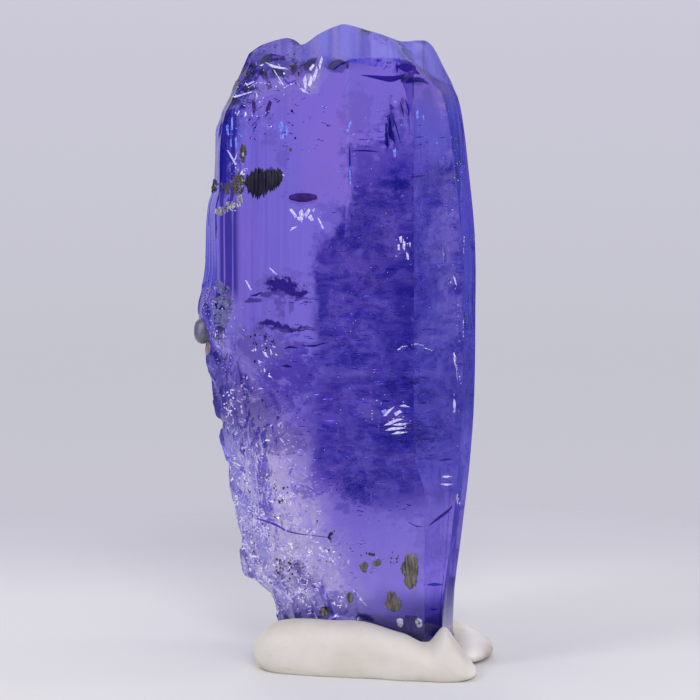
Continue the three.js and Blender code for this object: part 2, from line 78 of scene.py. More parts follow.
CREST_BEHIND_FACE = [(-3.1, 1.6), (2.0, 1.6), (3.08, 2.3)]
FRONT_COLUMNS = (3, 3, 14, 6, 2)  # broad faces first, as in the solid
REAR_COLUMNS = (3, 3, 15, 4, 3)
FINER = 5  # this many columns here for one of the solid's
ROWS = 300
WEDGE_ROWS = 20

RIGHT_BEVEL = 0.43  # width of the bevel between the right panel and the right end
REAR_INSETS = (1.45, 1.15)  # how far the rear face stops short of the left and right ends
LEFT_BEVEL, LEFT_NARROWS = (0.45, 0.18), (12.5, 17.0)  # width below and above, and where it changes

ETCH_EDGE = [
    (0.0, 1.7), (1.3, 1.24), (4.0, -0.1), (7.0, -1.4), (8.7, -1.8), (10.7, -3.6), (12.5, -4.7),
]
ETCH_DEPTH, ETCH_CELL = 0.2, 0.95
PIT_DEPTH, PIT_CELL = 0.08, 0.5
CRUST_Z, CRUST_HALF_HEIGHT, CRUST_SWELL = 11.55, 1.25, 0.34
REFRACTION = 1.69

# ------------------------------------------------------------------ number helpers


def along(points, t):
    """Smooth curve through (t, value) points: cubic pieces, sloped at a point as its neighbours lie."""
    t = np.asarray(t, float)
    knots = np.array([p[0] for p in points])
    values = np.array([p[1] for p in points])
    last = len(points) - 1
    t = np.clip(t, knots[0], knots[-1])
    i = np.clip(np.searchsorted(knots, t, side="left") - 1, 0, last - 1)
    before, after = np.maximum(i - 1, 0), np.minimum(i + 2, last)
    span = knots[i + 1] - knots[i]
    slope0 = (values[i + 1] - values[before]) / (knots[i + 1] - knots[before]) * span
    slope1 = (values[after] - values[i]) / (knots[after] - knots[i]) * span
    s = (t - knots[i]) / span
    rise = s * s * (3 - 2 * s)
    bend = slope0 * s * (1 - s) ** 2 - slope1 * s * s * (1 - s)
    return values[i] + (values[i + 1] - values[i]) * rise + bend


def on_route(route, s):
    """x and y on a smooth route through evenly timed points, for s from 0 to 1."""
    knots = np.linspace(0, 1, len(route))
    return tuple(along(list(zip(knots, [point[axis] for point in route])), s) for axis in (0, 1))


def step(low, high, t):
    """0 below low, 1 above high, smooth between them."""
    s = np.clip((t - low) / (high - low), 0, 1)
    return s * s * (3 - 2 * s)


def chance(i, j, seed):
    """Repeatable number from 0 to 1 for a pair of whole numbers."""
    wave = np.sin(i * 127.1 + j * 311.7 + seed * 74.7) * 43758.5453
    return wave - np.floor(wave)


BORDER_SOFTNESS = 0.16


def flakes(across, up, size, seed):
    """
    Broken relief from -1 to 1: flat tilted flakes, one round each scattered point, taller than wide. Near a
    border the heights of the two nearest flakes are shared out by how much nearer the first one is.
    """
    a, b = across / size, up / (size * 1.6)
    nearest, second = np.full(a.shape, np.inf), np.full(a.shape, np.inf)
    height, other = np.zeros(a.shape), np.zeros(a.shape)
    for di in (-1, 0, 1):
        for dj in (-1, 0, 1):
            i, j = np.floor(a) + di, np.floor(b) + dj
            da, db = a - i - chance(i, j, seed), b - j - chance(i, j, seed + 1)
            distance = da * da + db * db
            tilt = da * (chance(i, j, seed + 2) - 0.5) + db * (chance(i, j, seed + 3) - 0.5)
            here = (chance(i, j, seed + 4) - 0.5) * 1.2 + tilt * 1.6
            first, runner_up = distance < nearest, (distance >= nearest) & (distance < second)
            other = np.where(first, height, np.where(runner_up, here, other))
            second = np.where(first, nearest, np.where(runner_up, distance, second))
            height = np.where(first, here, height)
            nearest = np.where(first, distance, nearest)
    share = 0.5 + 0.5 * np.clip((second - nearest) / BORDER_SOFTNESS, 0, 1)
    return height * share + other * (1 - share)


def growth_lines(ring, z, width, seed):
    """Upright growth steps: one flat level per stripe of the given width, which changes now and then."""
    stripe = np.floor(ring / width)
    reach = np.floor(z / 5.0 + 3 * chance(stripe, 0, seed))
    return chance(stripe, reach, seed + 1) - 0.5


# ------------------------------------------------------------------ mesh helpers


def new_mesh(name, points, faces, material, slot, replaces=(), smooth=False):
    """Finished piece from points in mm and faces: placed in its mesh and riding on the body. The slot is not
    used.
    """
    mesh = bpy.data.meshes.new(name)
    mesh.from_pydata(((np.asarray(points) - CENTRE) * MM).tolist(), [], faces)
    mesh.validate()
    mesh.shade_smooth() if smooth else mesh.shade_flat()
    mesh.materials.append(material)
    piece = bpy.data.objects.new(name, mesh)
    bpy.context.scene.collection.objects.link(piece)
    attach(piece, "root")
    if replaces:
        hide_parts(*replaces)
    return piece


def ring_faces(rows, columns):
    """Quads of a tube of stacked rings. They face out when rings run left, front, right, rear and climb."""
    r, c = np.meshgrid(np.arange(rows - 1), np.arange(columns), indexing="ij")
    n = (c + 1) % columns
    quads = np.stack([r * columns + c, r * columns + n, (r + 1) * columns + n, (r + 1) * columns + c], -1)
    return quads.reshape(-1, 4)


# ------------------------------------------------------------------ crystal


def front_face_y(x):
    return FRONT_EDGE[1] - (x - FRONT_EDGE[0]) * FACE_TURN


def section(z):
    """The ten corners of the crystal's section at each height: arrays of x and of y, corner index last."""
    left, right = along(LEFT_OUTLINE, z), along(RIGHT_OUTLINE, z)
    edge = FRONT_EDGE[0] + EDGE_JOG * (1 - step(JOG_LOW, JOG_HIGH, z))
    panel_x = right - RIGHT_BEVEL
    back = THICKNESS - (BELLY_Z - z) * THICKNESS_LOSS
    back_left, back_right = left + REAR_INSETS[0], right - REAR_INSETS[1]
    level = np.ones_like(left)
    narrow = LEFT_BEVEL[0] + (LEFT_BEVEL[1] - LEFT_BEVEL[0]) * step(*LEFT_NARROWS, z)
    x = [
        left, left + narrow, left + 1.0, edge, panel_x,
        right, right - 0.15, back_right, back_left, left + 0.5,
    ]
    y = [
        0.4 * level, -0.55 * level, front_face_y(left + 1.0), front_face_y(edge),
        front_face_y(edge) + (panel_x - edge) * PANEL_TURN, 0.1 * level, 1.0 * level,
        front_face_y(back_right) + back, front_face_y(back_left) + back, 2.1 * level,
    ]
    return np.stack(x, -1), np.stack(y, -1)


def lay_columns():
    """Face number and share of the face for each column, once round from the left end by the front."""
    counts = [n * FINER for n in FRONT_COLUMNS + REAR_COLUMNS]
    face = np.repeat(np.arange(len(counts)), counts)
    share = np.concatenate([np.arange(n) / n for n in counts])
    return face, share


def on_prism(face, share, z):
    """Point of each column at each height before relief, and the outward direction of its face."""
    cx, cy = section(z)
    pick = np.broadcast_to(face, z.shape)[..., None]
    follow = (pick + 1) % cx.shape[-1]
    ax, ay = np.take_along_axis(cx, pick, -1)[..., 0], np.take_along_axis(cy, pick, -1)[..., 0]
    bx, by = np.take_along_axis(cx, follow, -1)[..., 0], np.take_along_axis(cy, follow, -1)[..., 0]
    length = np.hypot(bx - ax, by - ay)
    return ax + (bx - ax) * share, ay + (by - ay) * share, (by - ay) / length, -(bx - ax) / length


def etched(x, z, rear):
    """How strongly a place is etched, 0 to 1: the lower left, less on the rear."""
    edge = along(ETCH_EDGE, z) - np.where(rear, 0.9, 0.0)
    return 1 - step(edge - 0.9, edge + 0.2, x)


def relief(x, y, z, rear):
    """Broad relief, the same as on the solid: broken flakes, pits, the crust's swelling, one growth step."""
    across = x * 0.9 - y * 0.6
    broken = np.where(rear, flakes(across, z, ETCH_CELL, 20), flakes(across, z, ETCH_CELL, 3)) * ETCH_DEPTH
    pits = np.where(rear, flakes(across, z, PIT_CELL, 27), flakes(across, z, PIT_CELL, 10)) * PIT_DEPTH
    etch = etched(x, z, rear) * (broken + pits - 0.08)
    on_left = 1 - step(-4.4, -3.4, x + np.abs(y) * 0.2)
    crust = on_left * np.exp(-1.6 * ((z - CRUST_Z) / CRUST_HALF_HEIGHT) ** 2)
    swell = crust * (CRUST_SWELL + flakes(across, z, 0.5, 40) * 0.08)
    upper_step = 0.05 * step(0.1, 0.2, x) * step(13.6, 14.2, z) * ~rear
    return etch + swell - upper_step, crust


FACE_STRIAE = np.array([0.02, 0.007, 0.004, 0.002, 0.004, 0.008, 0.004, 0.003, 0.012, 0.03])


def fine_relief(x, y, z, face, ring, rear, crust):
    """Small relief that the solid leaves out: growth lines by face, small etch flakes and crust grains."""
    across = x * 0.9 - y * 0.6
    lines = growth_lines(ring, z, 0.27, 5) + 0.6 * growth_lines(ring, z, 0.12, 8)
    etch = np.maximum(etched(x, z, rear), np.clip(crust * 1.3, 0, 1))
    rough = 0.3 + 0.8 * step(-0.3, 0.3, flakes(across, z, 0.9, 90))
    small = (flakes(across, z, 0.34, 50) * 0.036 + flakes(across, z, 0.16, 56) * 0.012) * rough
    corner = step(16.9, 17.9, z) * (1 - step(-2.2, -1.3, x)) * (flakes(across, z, 0.4, 81) * 0.04 + small)
    sway = 0.005 * np.sin(across * 2.3 + 0.6 * np.sin(z * 0.9)) + 0.004 * np.sin(z * 1.7 + across)
    return lines * FACE_STRIAE[face] * (1 - 0.8 * etch) + small * etch + corner + sway


def crystal_points():
    """
    Crystal skin. Up to the rim a point is the straight mix of two section corners at its height, moved out
    by the relief; above it, the straight mix of its rim point and its place on the crest; below, of the
    lowest ring and a keel under the middle of the section.
    """
    face, share = lay_columns()
    columns = len(face)
    half = columns // 2
    rear = face >= len(FRONT_COLUMNS)
    belly_x, belly_y, _, _ = on_prism(face, share, np.full(columns, BELLY_Z))
    ring = np.cumsum(np.hypot(np.diff(belly_x, prepend=belly_x[-1]), np.diff(belly_y, prepend=belly_y[-1])))
    rim = np.where(rear, along(BACK_RIM, belly_x), along(FRONT_RIM, belly_x))

    climb = (np.arange(ROWS + 1) / ROWS)[:, None] ** 1.15
    z = FOOT_Z + (rim - FOOT_Z) * climb
    x, y, out_x, out_y = on_prism(face, share, z)
    rear_grid = np.broadcast_to(rear, z.shape)
    out, crust = relief(x, y, z, rear_grid)
    out = out + fine_relief(x, y, z, face, ring, rear_grid, crust)
    body = np.stack([x + out_x * out, y + out_y * out, z], -1)

    reach = (belly_x[: half + 1] - LEFT_AT_BELLY) / (RIGHT_AT_BELLY - LEFT_AT_BELLY)
    crest_x = CREST[0][0] + (CREST[-1][0] - CREST[0][0]) * reach
    crest_y = front_face_y(crest_x) + along(CREST_BEHIND_FACE, crest_x)
    crest = np.stack([crest_x, crest_y, along(CREST, crest_x)], -1)
    crest_index = np.concatenate([np.arange(half + 1), np.arange(half - 1, 0, -1)])

    mix = (np.arange(1, WEDGE_ROWS) / WEDGE_ROWS)[:, None, None]
    wedge = body[-1] * (1 - mix) + crest[crest_index] * mix
    wx, wz = wedge[..., 0], wedge[..., 2]
    chipped = np.where(rear, 0.35, 1 - step(-1.3, -0.7, wx))
    hump = np.sin(np.pi * mix[..., 0])
    broken = flakes(wx, wz * 1.3, 0.7, 60) * 0.12 + flakes(wx, wz * 1.2, 0.26, 66) * 0.05
    bands = growth_lines(wx, wz * 0, 0.33, 71) * 0.03 + growth_lines(wx, wz * 0, 0.15, 73) * 0.012
    wedge[..., 2] += hump * (chipped * broken + (1 - chipped) * bands)

    opposite = np.concatenate([[0], columns - np.arange(1, half), [half]])
    keel = (body[0][: half + 1] + body[0][opposite]) / 2
    keel[:, 2] = FOOT_Z - 0.05 * np.sin(np.pi * np.arange(half + 1) / half)
    return body, wedge, crest, keel, crest_index


def crystal_mesh(material):
    body, wedge, crest, keel, crest_index = crystal_points()
    columns = body.shape[1]
    stack = np.concatenate([body.reshape(-1, 3), wedge.reshape(-1, 3), crest, keel])
    rows = body.shape[0] + wedge.shape[0]
    crest_start = rows * columns
    keel_start = crest_start + len(crest)
    half = columns // 2
    keel_id = np.arange(half + 1) + keel_start
    keel_id[[0, half]] = [0, half]
    c = np.arange(columns)
    n = (c + 1) % columns
    last = (rows - 1) * columns
    top = np.stack([last + c, last + n, crest_start + crest_index[n], crest_start + crest_index[c]], -1)
    base = np.stack([c, keel_id[crest_index[c]], keel_id[crest_index[n]], n], -1)
    base = [list(dict.fromkeys(quad)) for quad in base.tolist()]
    faces = ring_faces(rows, columns).tolist() + top.tolist() + base
    return new_mesh("crystal", stack, faces, material, "tanzanite", ("tanzanite_crystal",))


def keep_outside(points, gap):
    """Moves points that lie inside the crystal's section out through the nearest face, plus the gap."""
    cx, cy = section(points[..., 2])
    nx, ny = np.roll(cx, -1, -1), np.roll(cy, -1, -1)
    length = np.hypot(nx - cx, ny - cy)
    out_x, out_y = (ny - cy) / length, -(nx - cx) / length
    away = (points[..., 0, None] - cx) * out_x + (points[..., 1, None] - cy) * out_y
    nearest = np.argmax(away, -1)[..., None]
    push = np.maximum(gap - np.take_along_axis(away, nearest, -1), 0)
    points = points.copy()
    points[..., 0] += (push * np.take_along_axis(out_x, nearest, -1))[..., 0]
    points[..., 1] += (push * np.take_along_axis(out_y, nearest, -1))[..., 0]
    return points


# ------------------------------------------------------------------ putty

PUTTY_MIDDLE = 0.42
ROLL_LEFT, ROLL_RIGHT = (-2.97, -1.95), (4.4, -3.6)
ROLL_HALF_DEPTH, ROLL_ROUNDNESS, ROLL_LEAN = 1.15, 7, 0.25
ROLL_TOP = [
    (-2.97, 1.3), (-2.3, 1.52), (-0.5, 1.62), (0.9, 1.58), (2.0, 1.33), (2.8, 1.04),
    (3.35, 1.62), (3.76, 1.2), (4.08, 0.8), (4.4, 0.5),
]
PUTTY_SQUARENESS = 0.72  # below 1 the roll has a flatter top and steeper sides than an ellipse
LUMP_ROUTE = [(4.1, -2.1), (4.0, 0.2), (3.0, 1.85), (1.3, 2.3), (-1.0, 2.75)]
LUMP_HALF_WIDTH = 1.05
LUMP_TOP = [(0, 0.8), (0.3, 0.75), (0.6, 1.25), (0.85, 1.2), (1, 1)]


def roll_skin(stations, spokes, shape):
    """Closed skin of a soft roll: rings shape(t, angle), closer near the ends, and two end points."""
    t = 0.5 - 0.5 * np.cos(np.pi * np.arange(1, stations) / stations)
    angle = 2 * np.pi * np.arange(spokes) / spokes
    tt, aa = np.meshgrid(t, angle, indexing="ij")
    rings = shape(tt, aa)
    ends = shape(np.array([[0.0], [1.0]]), np.zeros((2, 1)))[:, 0]
    points = np.concatenate([rings.reshape(-1, 3), ends])
    return points, tube_faces(stations - 1, spokes)


def thumbed(x, y, z):
    """Soft dents of fingers and a few fine folds, in mm, as sums of slow and quick waves."""
    slow = np.sin(1.9 * x + 0.7 * y) * np.cos(1.3 * y - 0.8 * x + 1.2 * z) * 0.05
    middle = np.sin(4.3 * x - 2.1 * z + 1.5 * np.sin(2.2 * y)) * 0.018
    fold = np.exp(-((np.sin(1.1 * x + 2.6 * z + 0.8 * np.sin(1.7 * x)) - 0.2) ** 2) / 0.002) * 0.03
    return slow + middle - fold


def squared(value):
    """Cosine or sine of an ellipse's angle, made squarer."""
    return np.sign(value) * np.abs(value) ** PUTTY_SQUARENESS


def putty_roll_points(t, angle):
    """
    Roll in front of the crystal: a squared ellipse that leans back, cut flat below. Height and depth are
    its half measures times the squared sine and cosine, plus the dents.
    """
    x, y0 = (ROLL_LEFT[axis] + (ROLL_RIGHT[axis] - ROLL_LEFT[axis]) * t for axis in (0, 1))
    fullness = np.sqrt(np.maximum(0, 1 - np.abs(2 * t - 1) ** ROLL_ROUNDNESS))
    top = along(ROLL_TOP, x)
    middle = top * PUTTY_MIDDLE
    dent = thumbed(x, y0 + np.cos(angle), np.sin(angle)) * fullness
    z = middle + squared(np.sin(angle)) * ((top - middle) * fullness + dent * 0.6)
    y = y0 + squared(np.cos(angle)) * (ROLL_HALF_DEPTH * fullness + dent) + ROLL_LEAN * z / top
    return keep_outside(np.stack([x + 0 * angle, y, np.maximum(z, 0)], -1), 0.02)


def putty_lump_points(t, angle):
    """Lump behind: an ellipse section carried along a bent route, cut flat below."""
    cx, cy = on_route(LUMP_ROUTE, t)
    nudge = 1e-3
    hx, hy = np.subtract(on_route(LUMP_ROUTE, t + nudge), on_route(LUMP_ROUTE, t - nudge))
    length = np.hypot(hx, hy)
    fullness = np.sqrt(np.maximum(0, 1 - np.abs(2 * t - 1) ** 4))
    top = along(LUMP_TOP, t)
    middle = top * PUTTY_MIDDLE
    dent = thumbed(cx * 1.3 + 2, cy + np.cos(angle), np.sin(angle)) * fullness
    out = np.cos(angle) * (LUMP_HALF_WIDTH * fullness * (0.9 + 0.1 * np.sin(9 * t)) + dent)
    z = middle + np.sin(angle) * ((top - middle) * fullness + dent * 0.6)
    points = np.stack([cx - hy / length * out, cy + hx / length * out, np.maximum(z, 0)], -1)
    return keep_outside(points, 0.02)


# ------------------------------------------------------------------ sight lines

# A sight point is a place in the main view: x to the right and y down, in pixels of a frame 700 wide.
VIEW_SIDE = 700.0
PIXELS_PER_MM = 30.0
ORIGIN_PIXEL = (342.7, 657.6)  # where the working frame's origin appears
ELEVATION = math.radians(8)
LENS, SENSOR = 200.0, 36.0
DISTANCE = VIEW_SIDE / PIXELS_PER_MM * LENS / SENSOR
MIDDLE = VIEW_SIDE / 2
RIGHT = np.array([1.0, 0.0, 0.0])
LOOK = np.array([0.0, math.cos(ELEVATION), -math.sin(ELEVATION)])
UP = np.array([0.0, math.sin(ELEVATION), math.cos(ELEVATION)])
AIM = np.array([
    (MIDDLE - ORIGIN_PIXEL[0]) / PIXELS_PER_MM, 0.0,
    (ORIGIN_PIXEL[1] - MIDDLE) / PIXELS_PER_MM / math.cos(ELEVATION),
])
EYE = AIM - LOOK * DISTANCE

UPRIGHT = np.array([0.0, 0.0, 1.0])


def unit(vectors):
    return vectors / np.linalg.norm(vectors, axis=-1, keepdims=True)


def seen_at(points):
    """Sight points where places appear."""
    away = points - EYE
    scale = PIXELS_PER_MM * DISTANCE / (away @ LOOK)
    return MIDDLE + (away @ RIGHT) * scale, MIDDLE - (away @ UP) * scale


def front_skin():
    """The crystal's front half as a grid from foot to crest, and its outward directions."""
    body, wedge, crest, _, _ = crystal_points()
    front = slice(0, len(crest))
    skin = np.concatenate([body[:, front], wedge[:, front], crest[None]])
    rows, columns = np.arange(skin.shape[0]), np.arange(skin.shape[1])
    above, below = np.minimum(rows + 6, rows[-1]), np.maximum(rows - 6, 0)
    after, before = np.minimum(columns + 3, columns[-1]), np.maximum(columns - 3, 0)
    return skin, unit(np.cross(skin[:, after] - skin[:, before], skin[above] - skin[below]))


def between(grid, row, column):
    """Value of a grid between its rows and columns, shared out among the four neighbours."""
    r = np.clip(row.astype(int), 0, grid.shape[0] - 2)
    c = np.clip(column.astype(int), 0, grid.shape[1] - 2)
    up, over = row - r, column - c
    if grid.ndim == 3:
        up, over = up[..., None], over[..., None]
    low = grid[r, c] * (1 - over) + grid[r, c + 1] * over
    high = grid[r + 1, c] * (1 - over) + grid[r + 1, c + 1] * over
    return low * (1 - up) + high * up


def skin_under(px, py):
    """
    Where the sight line through each sight point enters the crystal, the sight line's direction, which
    way the skin faces there, and whether the line meets the crystal at all. Row and column of the skin's
    grid are stepped by the distance still missing in the view, over how far one row or column reaches.
    """
    skin, outward = FRONT_SKIN
    seen_x, seen_y = seen_at(skin)
    reach_x, reach_y = np.gradient(seen_x, axis=1), np.gradient(seen_y, axis=0)
    reach_x, reach_y = np.maximum(reach_x, 0.4), np.minimum(reach_y, -0.4)
    row, column = np.full(px.shape, skin.shape[0] / 2), np.full(px.shape, skin.shape[1] / 2)
    for _ in range(30):
        missing_x, missing_y = px - between(seen_x, row, column), py - between(seen_y, row, column)
        step_x = np.clip(0.7 * missing_x / between(reach_x, row, column), -25, 25)
        step_y = np.clip(0.7 * missing_y / between(reach_y, row, column), -60, 60)
        column = np.clip(column + step_x, 0, skin.shape[1] - 1.001)
        row = np.clip(row + step_y, 0, skin.shape[0] - 1.001)
    missing_x, missing_y = px - between(seen_x, row, column), py - between(seen_y, row, column)
    place = between(skin, row, column)
    met = np.hypot(missing_x, missing_y) < 2.5
    return place, unit(place - EYE), unit(between(outward, row, column)), met


def behind(px, py, depth):
    """
    Places that appear at the sight points (px, py), the given depth behind the skin, where the sight line
    is bent as glass of this refraction bends it; the skin's outward direction; and whether it was met.
    """
    px, py, depth = np.broadcast_arrays(*(np.asarray(v, float) for v in (px, py, depth)))
    place, sight, out, met = skin_under(px, py)
    facing = -(sight * out).sum(-1)
    bend = facing / REFRACTION - np.sqrt(1 - (1 - facing**2) / REFRACTION**2)
    inner = sight / REFRACTION + bend[..., None] * out
    return place + inner * depth[..., None], out, met


def depth_inside(points):
    """How deep each point lies inside the crystal's upright sides, in mm; negative outside."""
    cx, cy = section(points[..., 2])
    nx, ny = np.roll(cx, -1, -1), np.roll(cy, -1, -1)
    away = (points[..., 0, None] - cx) * (ny - cy) - (points[..., 1, None] - cy) * (nx - cx)
    return -(away / np.hypot(nx - cx, ny - cy)).max(-1)


FRONT_SKIN = front_skin()

# ------------------------------------------------------------------ things inside the crystal

LENS_CORNERS = 8


def lens_plates(middle, along_way, across_way, length, width, thickness):
    """
    Many lens-shaped plates as one mesh. Each is a ring of points round its middle, middle + length cos a
    along + width sin a across, and one point on each side, thickness away.
    """
    a = 2 * np.pi * np.arange(LENS_CORNERS) / LENS_CORNERS
    rim = middle[:, None] + np.cos(a)[None, :, None] * (along_way * length[:, None])[:, None]
    rim = rim + np.sin(a)[None, :, None] * (across_way * width[:, None])[:, None]
    lift = np.cross(along_way, across_way) * thickness[:, None]
    points = np.concatenate([rim, (middle + lift)[:, None], (middle - lift)[:, None]], 1)
    c = np.arange(LENS_CORNERS)
    n = (c + 1) % LENS_CORNERS
    upper = np.stack([c, n, np.full_like(c, LENS_CORNERS)], -1)
    lower = np.stack([n, c, np.full_like(c, LENS_CORNERS + 1)], -1)
    first = np.arange(len(middle)) * (LENS_CORNERS + 2)
    faces = np.concatenate([upper, lower])[None] + first[:, None, None]
    return points.reshape(-1, 3), faces.reshape(-1, 3).tolist()


def strewn_plates(rng, px, py, deep, length, flatness=0.5, lie="level", lean=0.12):
    """
    Plates under the given sight points and depths. Lie 'level' sets them flat as cleavage films, 'facing'
    parallel to the skin, 'upright' as needles.
    """
    middle, out, met = behind(px, py, deep)
    side = unit(np.cross(UPRIGHT, out))
    size = length[0] * (length[1] / length[0]) ** rng.random(len(px))
    tilt = (rng.random((len(px), 3)) - 0.5) * 2 * lean
    long_way = {"level": side, "facing": side, "upright": UPRIGHT + 0 * side}[lie]
    short_way = {"level": -out, "facing": UPRIGHT + 0 * side, "upright": side}[lie]
    long_way = unit(long_way + tilt)
    short_way = short_way + tilt[:, ::-1]
    short_way = unit(short_way - long_way * (short_way * long_way).sum(-1, keepdims=True))
    width = size * flatness * (0.6 + 0.8 * rng.random(len(px)))
    margin = np.where(deep > 0.03, size * 0.6 + 0.03, -CRUST_SWELL - ETCH_DEPTH)
    keep = met & (depth_inside(middle) > margin) & (middle[:, 2] > 0.4)
    thickness = np.minimum(0.012 + 0.05 * size, width)
    plates = (middle, long_way, short_way, size, width, thickness)
    return lens_plates(*(measure[keep] for measure in plates))


def strewn(rng, spot, count):
    """Random sight points over an ellipse: middle x, middle y, half width, half height."""
    turn, share = rng.random(count) * 2 * np.pi, rng.random(count) ** 0.5
    return spot[0] + spot[2] * share * np.cos(turn), spot[1] + spot[3] * share * np.sin(turn)


def plate_cloud(rng, spot, count, depth, length, **lie):
    """Plates strewn over an ellipse of the view, more of them near the least depth."""
    px, py = strewn(rng, spot, count)
    deep = depth[0] + (depth[1] - depth[0]) * rng.random(count) ** 1.5
    return strewn_plates(rng, px, py, deep, length, **lie)


def fleck_trail(rng, spine, density, length):
    """Plates strewn along a smooth line of sight points, rows of (x, y, half width)."""
    rows = np.array(spine, float)
    knots = np.linspace(0, 1, len(rows))
    run = np.hypot(np.diff(rows[:, 0]), np.diff(rows[:, 1])).sum()
    s = rng.random(int(run * density) + 3)
    spread = (rng.random((2, len(s))) - 0.5) * 2 * np.interp(s, knots, rows[:, 2])
    px, py = on_route(rows, s) + spread
    return strewn_plates(rng, px, py, np.full(len(s), -0.006), length, 0.5, "facing", 0.9)


def tube_faces(stations, spokes):
    """Faces of a closed tube of rings with one point at each end, the end points last."""
    c, n = np.arange(spokes), (np.arange(spokes) + 1) % spokes
    first, tail = stations * spokes, (stations - 1) * spokes
    near = np.stack([first + 0 * c, n, c], -1)
    far = np.stack([first + 1 + 0 * c, tail + c, tail + n], -1)
    return ring_faces(stations, spokes).tolist() + near.tolist() + far.tolist()


def stroke(spine, depth, thickness=0.03):
    """
    Flat pointed body under the skin: an ellipse carried along a smooth line of sight points. Spine rows
    are (x, y, half width), all in sight points; thickness is in mm and lies across the skin.
    """
    rows = np.array(spine, float)
    knots = np.linspace(0, 1, len(rows))
    s = np.linspace(0, 1, 7 * len(rows))
    px, py = on_route(rows, s)
    half = np.interp(s, knots, rows[:, 2]) / PIXELS_PER_MM
    middle, out, _ = behind(px, py, depth)
    heading = unit(np.gradient(middle, axis=0))
    across = unit(np.cross(-out, heading))
    into = np.cross(heading, across)
    a = 2 * np.pi * np.arange(8) / 8
    body = slice(1, -1)
    thick = np.minimum(thickness, half)
    rings = middle[body, None] + across[body, None] * (np.cos(a)[None, :] * half[body, None])[..., None]
    rings = rings + into[body, None] * (np.sin(a)[None, :] * thick[body, None])[..., None]
    points = np.concatenate([rings.reshape(-1, 3), middle[[0, -1]]])
    return points, tube_faces(len(s) - 2, 8)


GRAIN_SHAPE = np.array([1.0, 0.45, 1.3])
GRAIN_RINGS, GRAIN_SPOKES = 5, 10


def lumps(rng, spot, count, depth, size):
    """
    Small rough grains: each a ball of rings whose radius wanders with direction, laid over an ellipse of
    the view like the plates.
    """
    px, py = strewn(rng, spot, count)
    middle, _, met = behind(px, py, depth[0] + (depth[1] - depth[0]) * rng.random(count))
    radius = size[0] * (size[1] / size[0]) ** rng.random(count)
    polar = np.pi * np.arange(1, GRAIN_RINGS + 1) / (GRAIN_RINGS + 1)
    a = 2 * np.pi * np.arange(GRAIN_SPOKES) / GRAIN_SPOKES
    pp, aa = np.meshgrid(polar, a, indexing="ij")
    sphere = np.stack([np.sin(pp) * np.cos(aa), np.sin(pp) * np.sin(aa), -np.cos(pp)], -1).reshape(-1, 3)
    sphere = np.concatenate([sphere, [[0, 0, -1], [0, 0, 1]]])
    cell_x, cell_z = np.round(sphere[:, 0] * 3)[None], np.round(sphere[:, 2] * 3)[None]
    wander = 1 + 0.35 * chance(cell_x, cell_z, px[:, None])
    points = (middle[:, None] + sphere[None] * GRAIN_SHAPE * (radius[:, None] * wander)[..., None])[met]
    faces = tube_faces(GRAIN_RINGS, GRAIN_SPOKES)
    shift = np.arange(met.sum()) * len(sphere)
    return points.reshape(-1, 3), [[i + int(s) for i in f] for s in shift for f in faces]


def joined(parts):
    """Several (points, faces) bodies as one."""
    points, faces, start = [], [], 0
    for some_points, some_faces in parts:
        points.append(some_points)
        faces += [[i + start for i in f] for f in some_faces]
        start += len(some_points)
    return np.concatenate(points), faces


# Clouds: (middle x, middle y, half width, half height), count, depths, half lengths, then how they lie.

PALE_FILMS = [
    ((395, 300, 75, 175), 98, (0.1, 3.6), (0.05, 0.26), dict(flatness=0.7)),
    ((365, 400, 60, 90), 52, (0.1, 3.0), (0.06, 0.3), dict(flatness=0.7)),
    ((440, 300, 28, 180), 38, (0.05, 1.2), (0.04, 0.2), dict(flatness=0.6)),
    ((310, 460, 70, 50), 60, (0.1, 2.0), (0.05, 0.22), dict(flatness=0.6)),
    ((395, 420, 16, 14), 52, (0.1, 0.8), (0.04, 0.16), dict(flatness=0.5)),
    ((320, 560, 60, 30), 68, (0.1, 1.5), (0.04, 0.14), dict(flatness=0.5)),
    ((290, 120, 40, 40), 45, (0.05, 1.0), (0.03, 0.09), dict(flatness=0.4, lie="facing", lean=0.6)),
    ((435, 240, 18, 90), 15, (0.02, 0.6), (0.08, 0.3), dict(flatness=0.25, lie="upright")),
]
DARK_FILMS = [
    ((390, 300, 75, 180), 60, (0.2, 3.8), (0.05, 0.3), dict(flatness=0.7)),
    ((360, 400, 70, 90), 50, (0.1, 3.0), (0.06, 0.34), dict(flatness=0.7)),
    ((303, 300, 14, 5), 12, (0.2, 0.5), (0.06, 0.16), dict(flatness=0.3)),
    ((300, 329, 12, 3), 12, (0.1, 0.5), (0.05, 0.14), dict(flatness=0.25)),
    ((378, 210, 28, 14), 40, (0.4, 1.6), (0.04, 0.2), dict(flatness=0.5)),
    ((405, 385, 13, 9), 26, (0.2, 0.9), (0.06, 0.2), dict(flatness=0.5)),
    ((412, 432, 34, 12), 60, (0.2, 1.2), (0.06, 0.24), dict(flatness=0.6)),
    ((372, 500, 24, 22), 26, (0.2, 1.2), (0.03, 0.12), dict(flatness=0.35)),
    ((402, 506, 8, 5), 10, (0.1, 0.4), (0.05, 0.14), dict(flatness=0.25)),
    ((330, 345, 40, 40), 34, (0.2, 1.6), (0.05, 0.2), dict(flatness=0.4)),
]
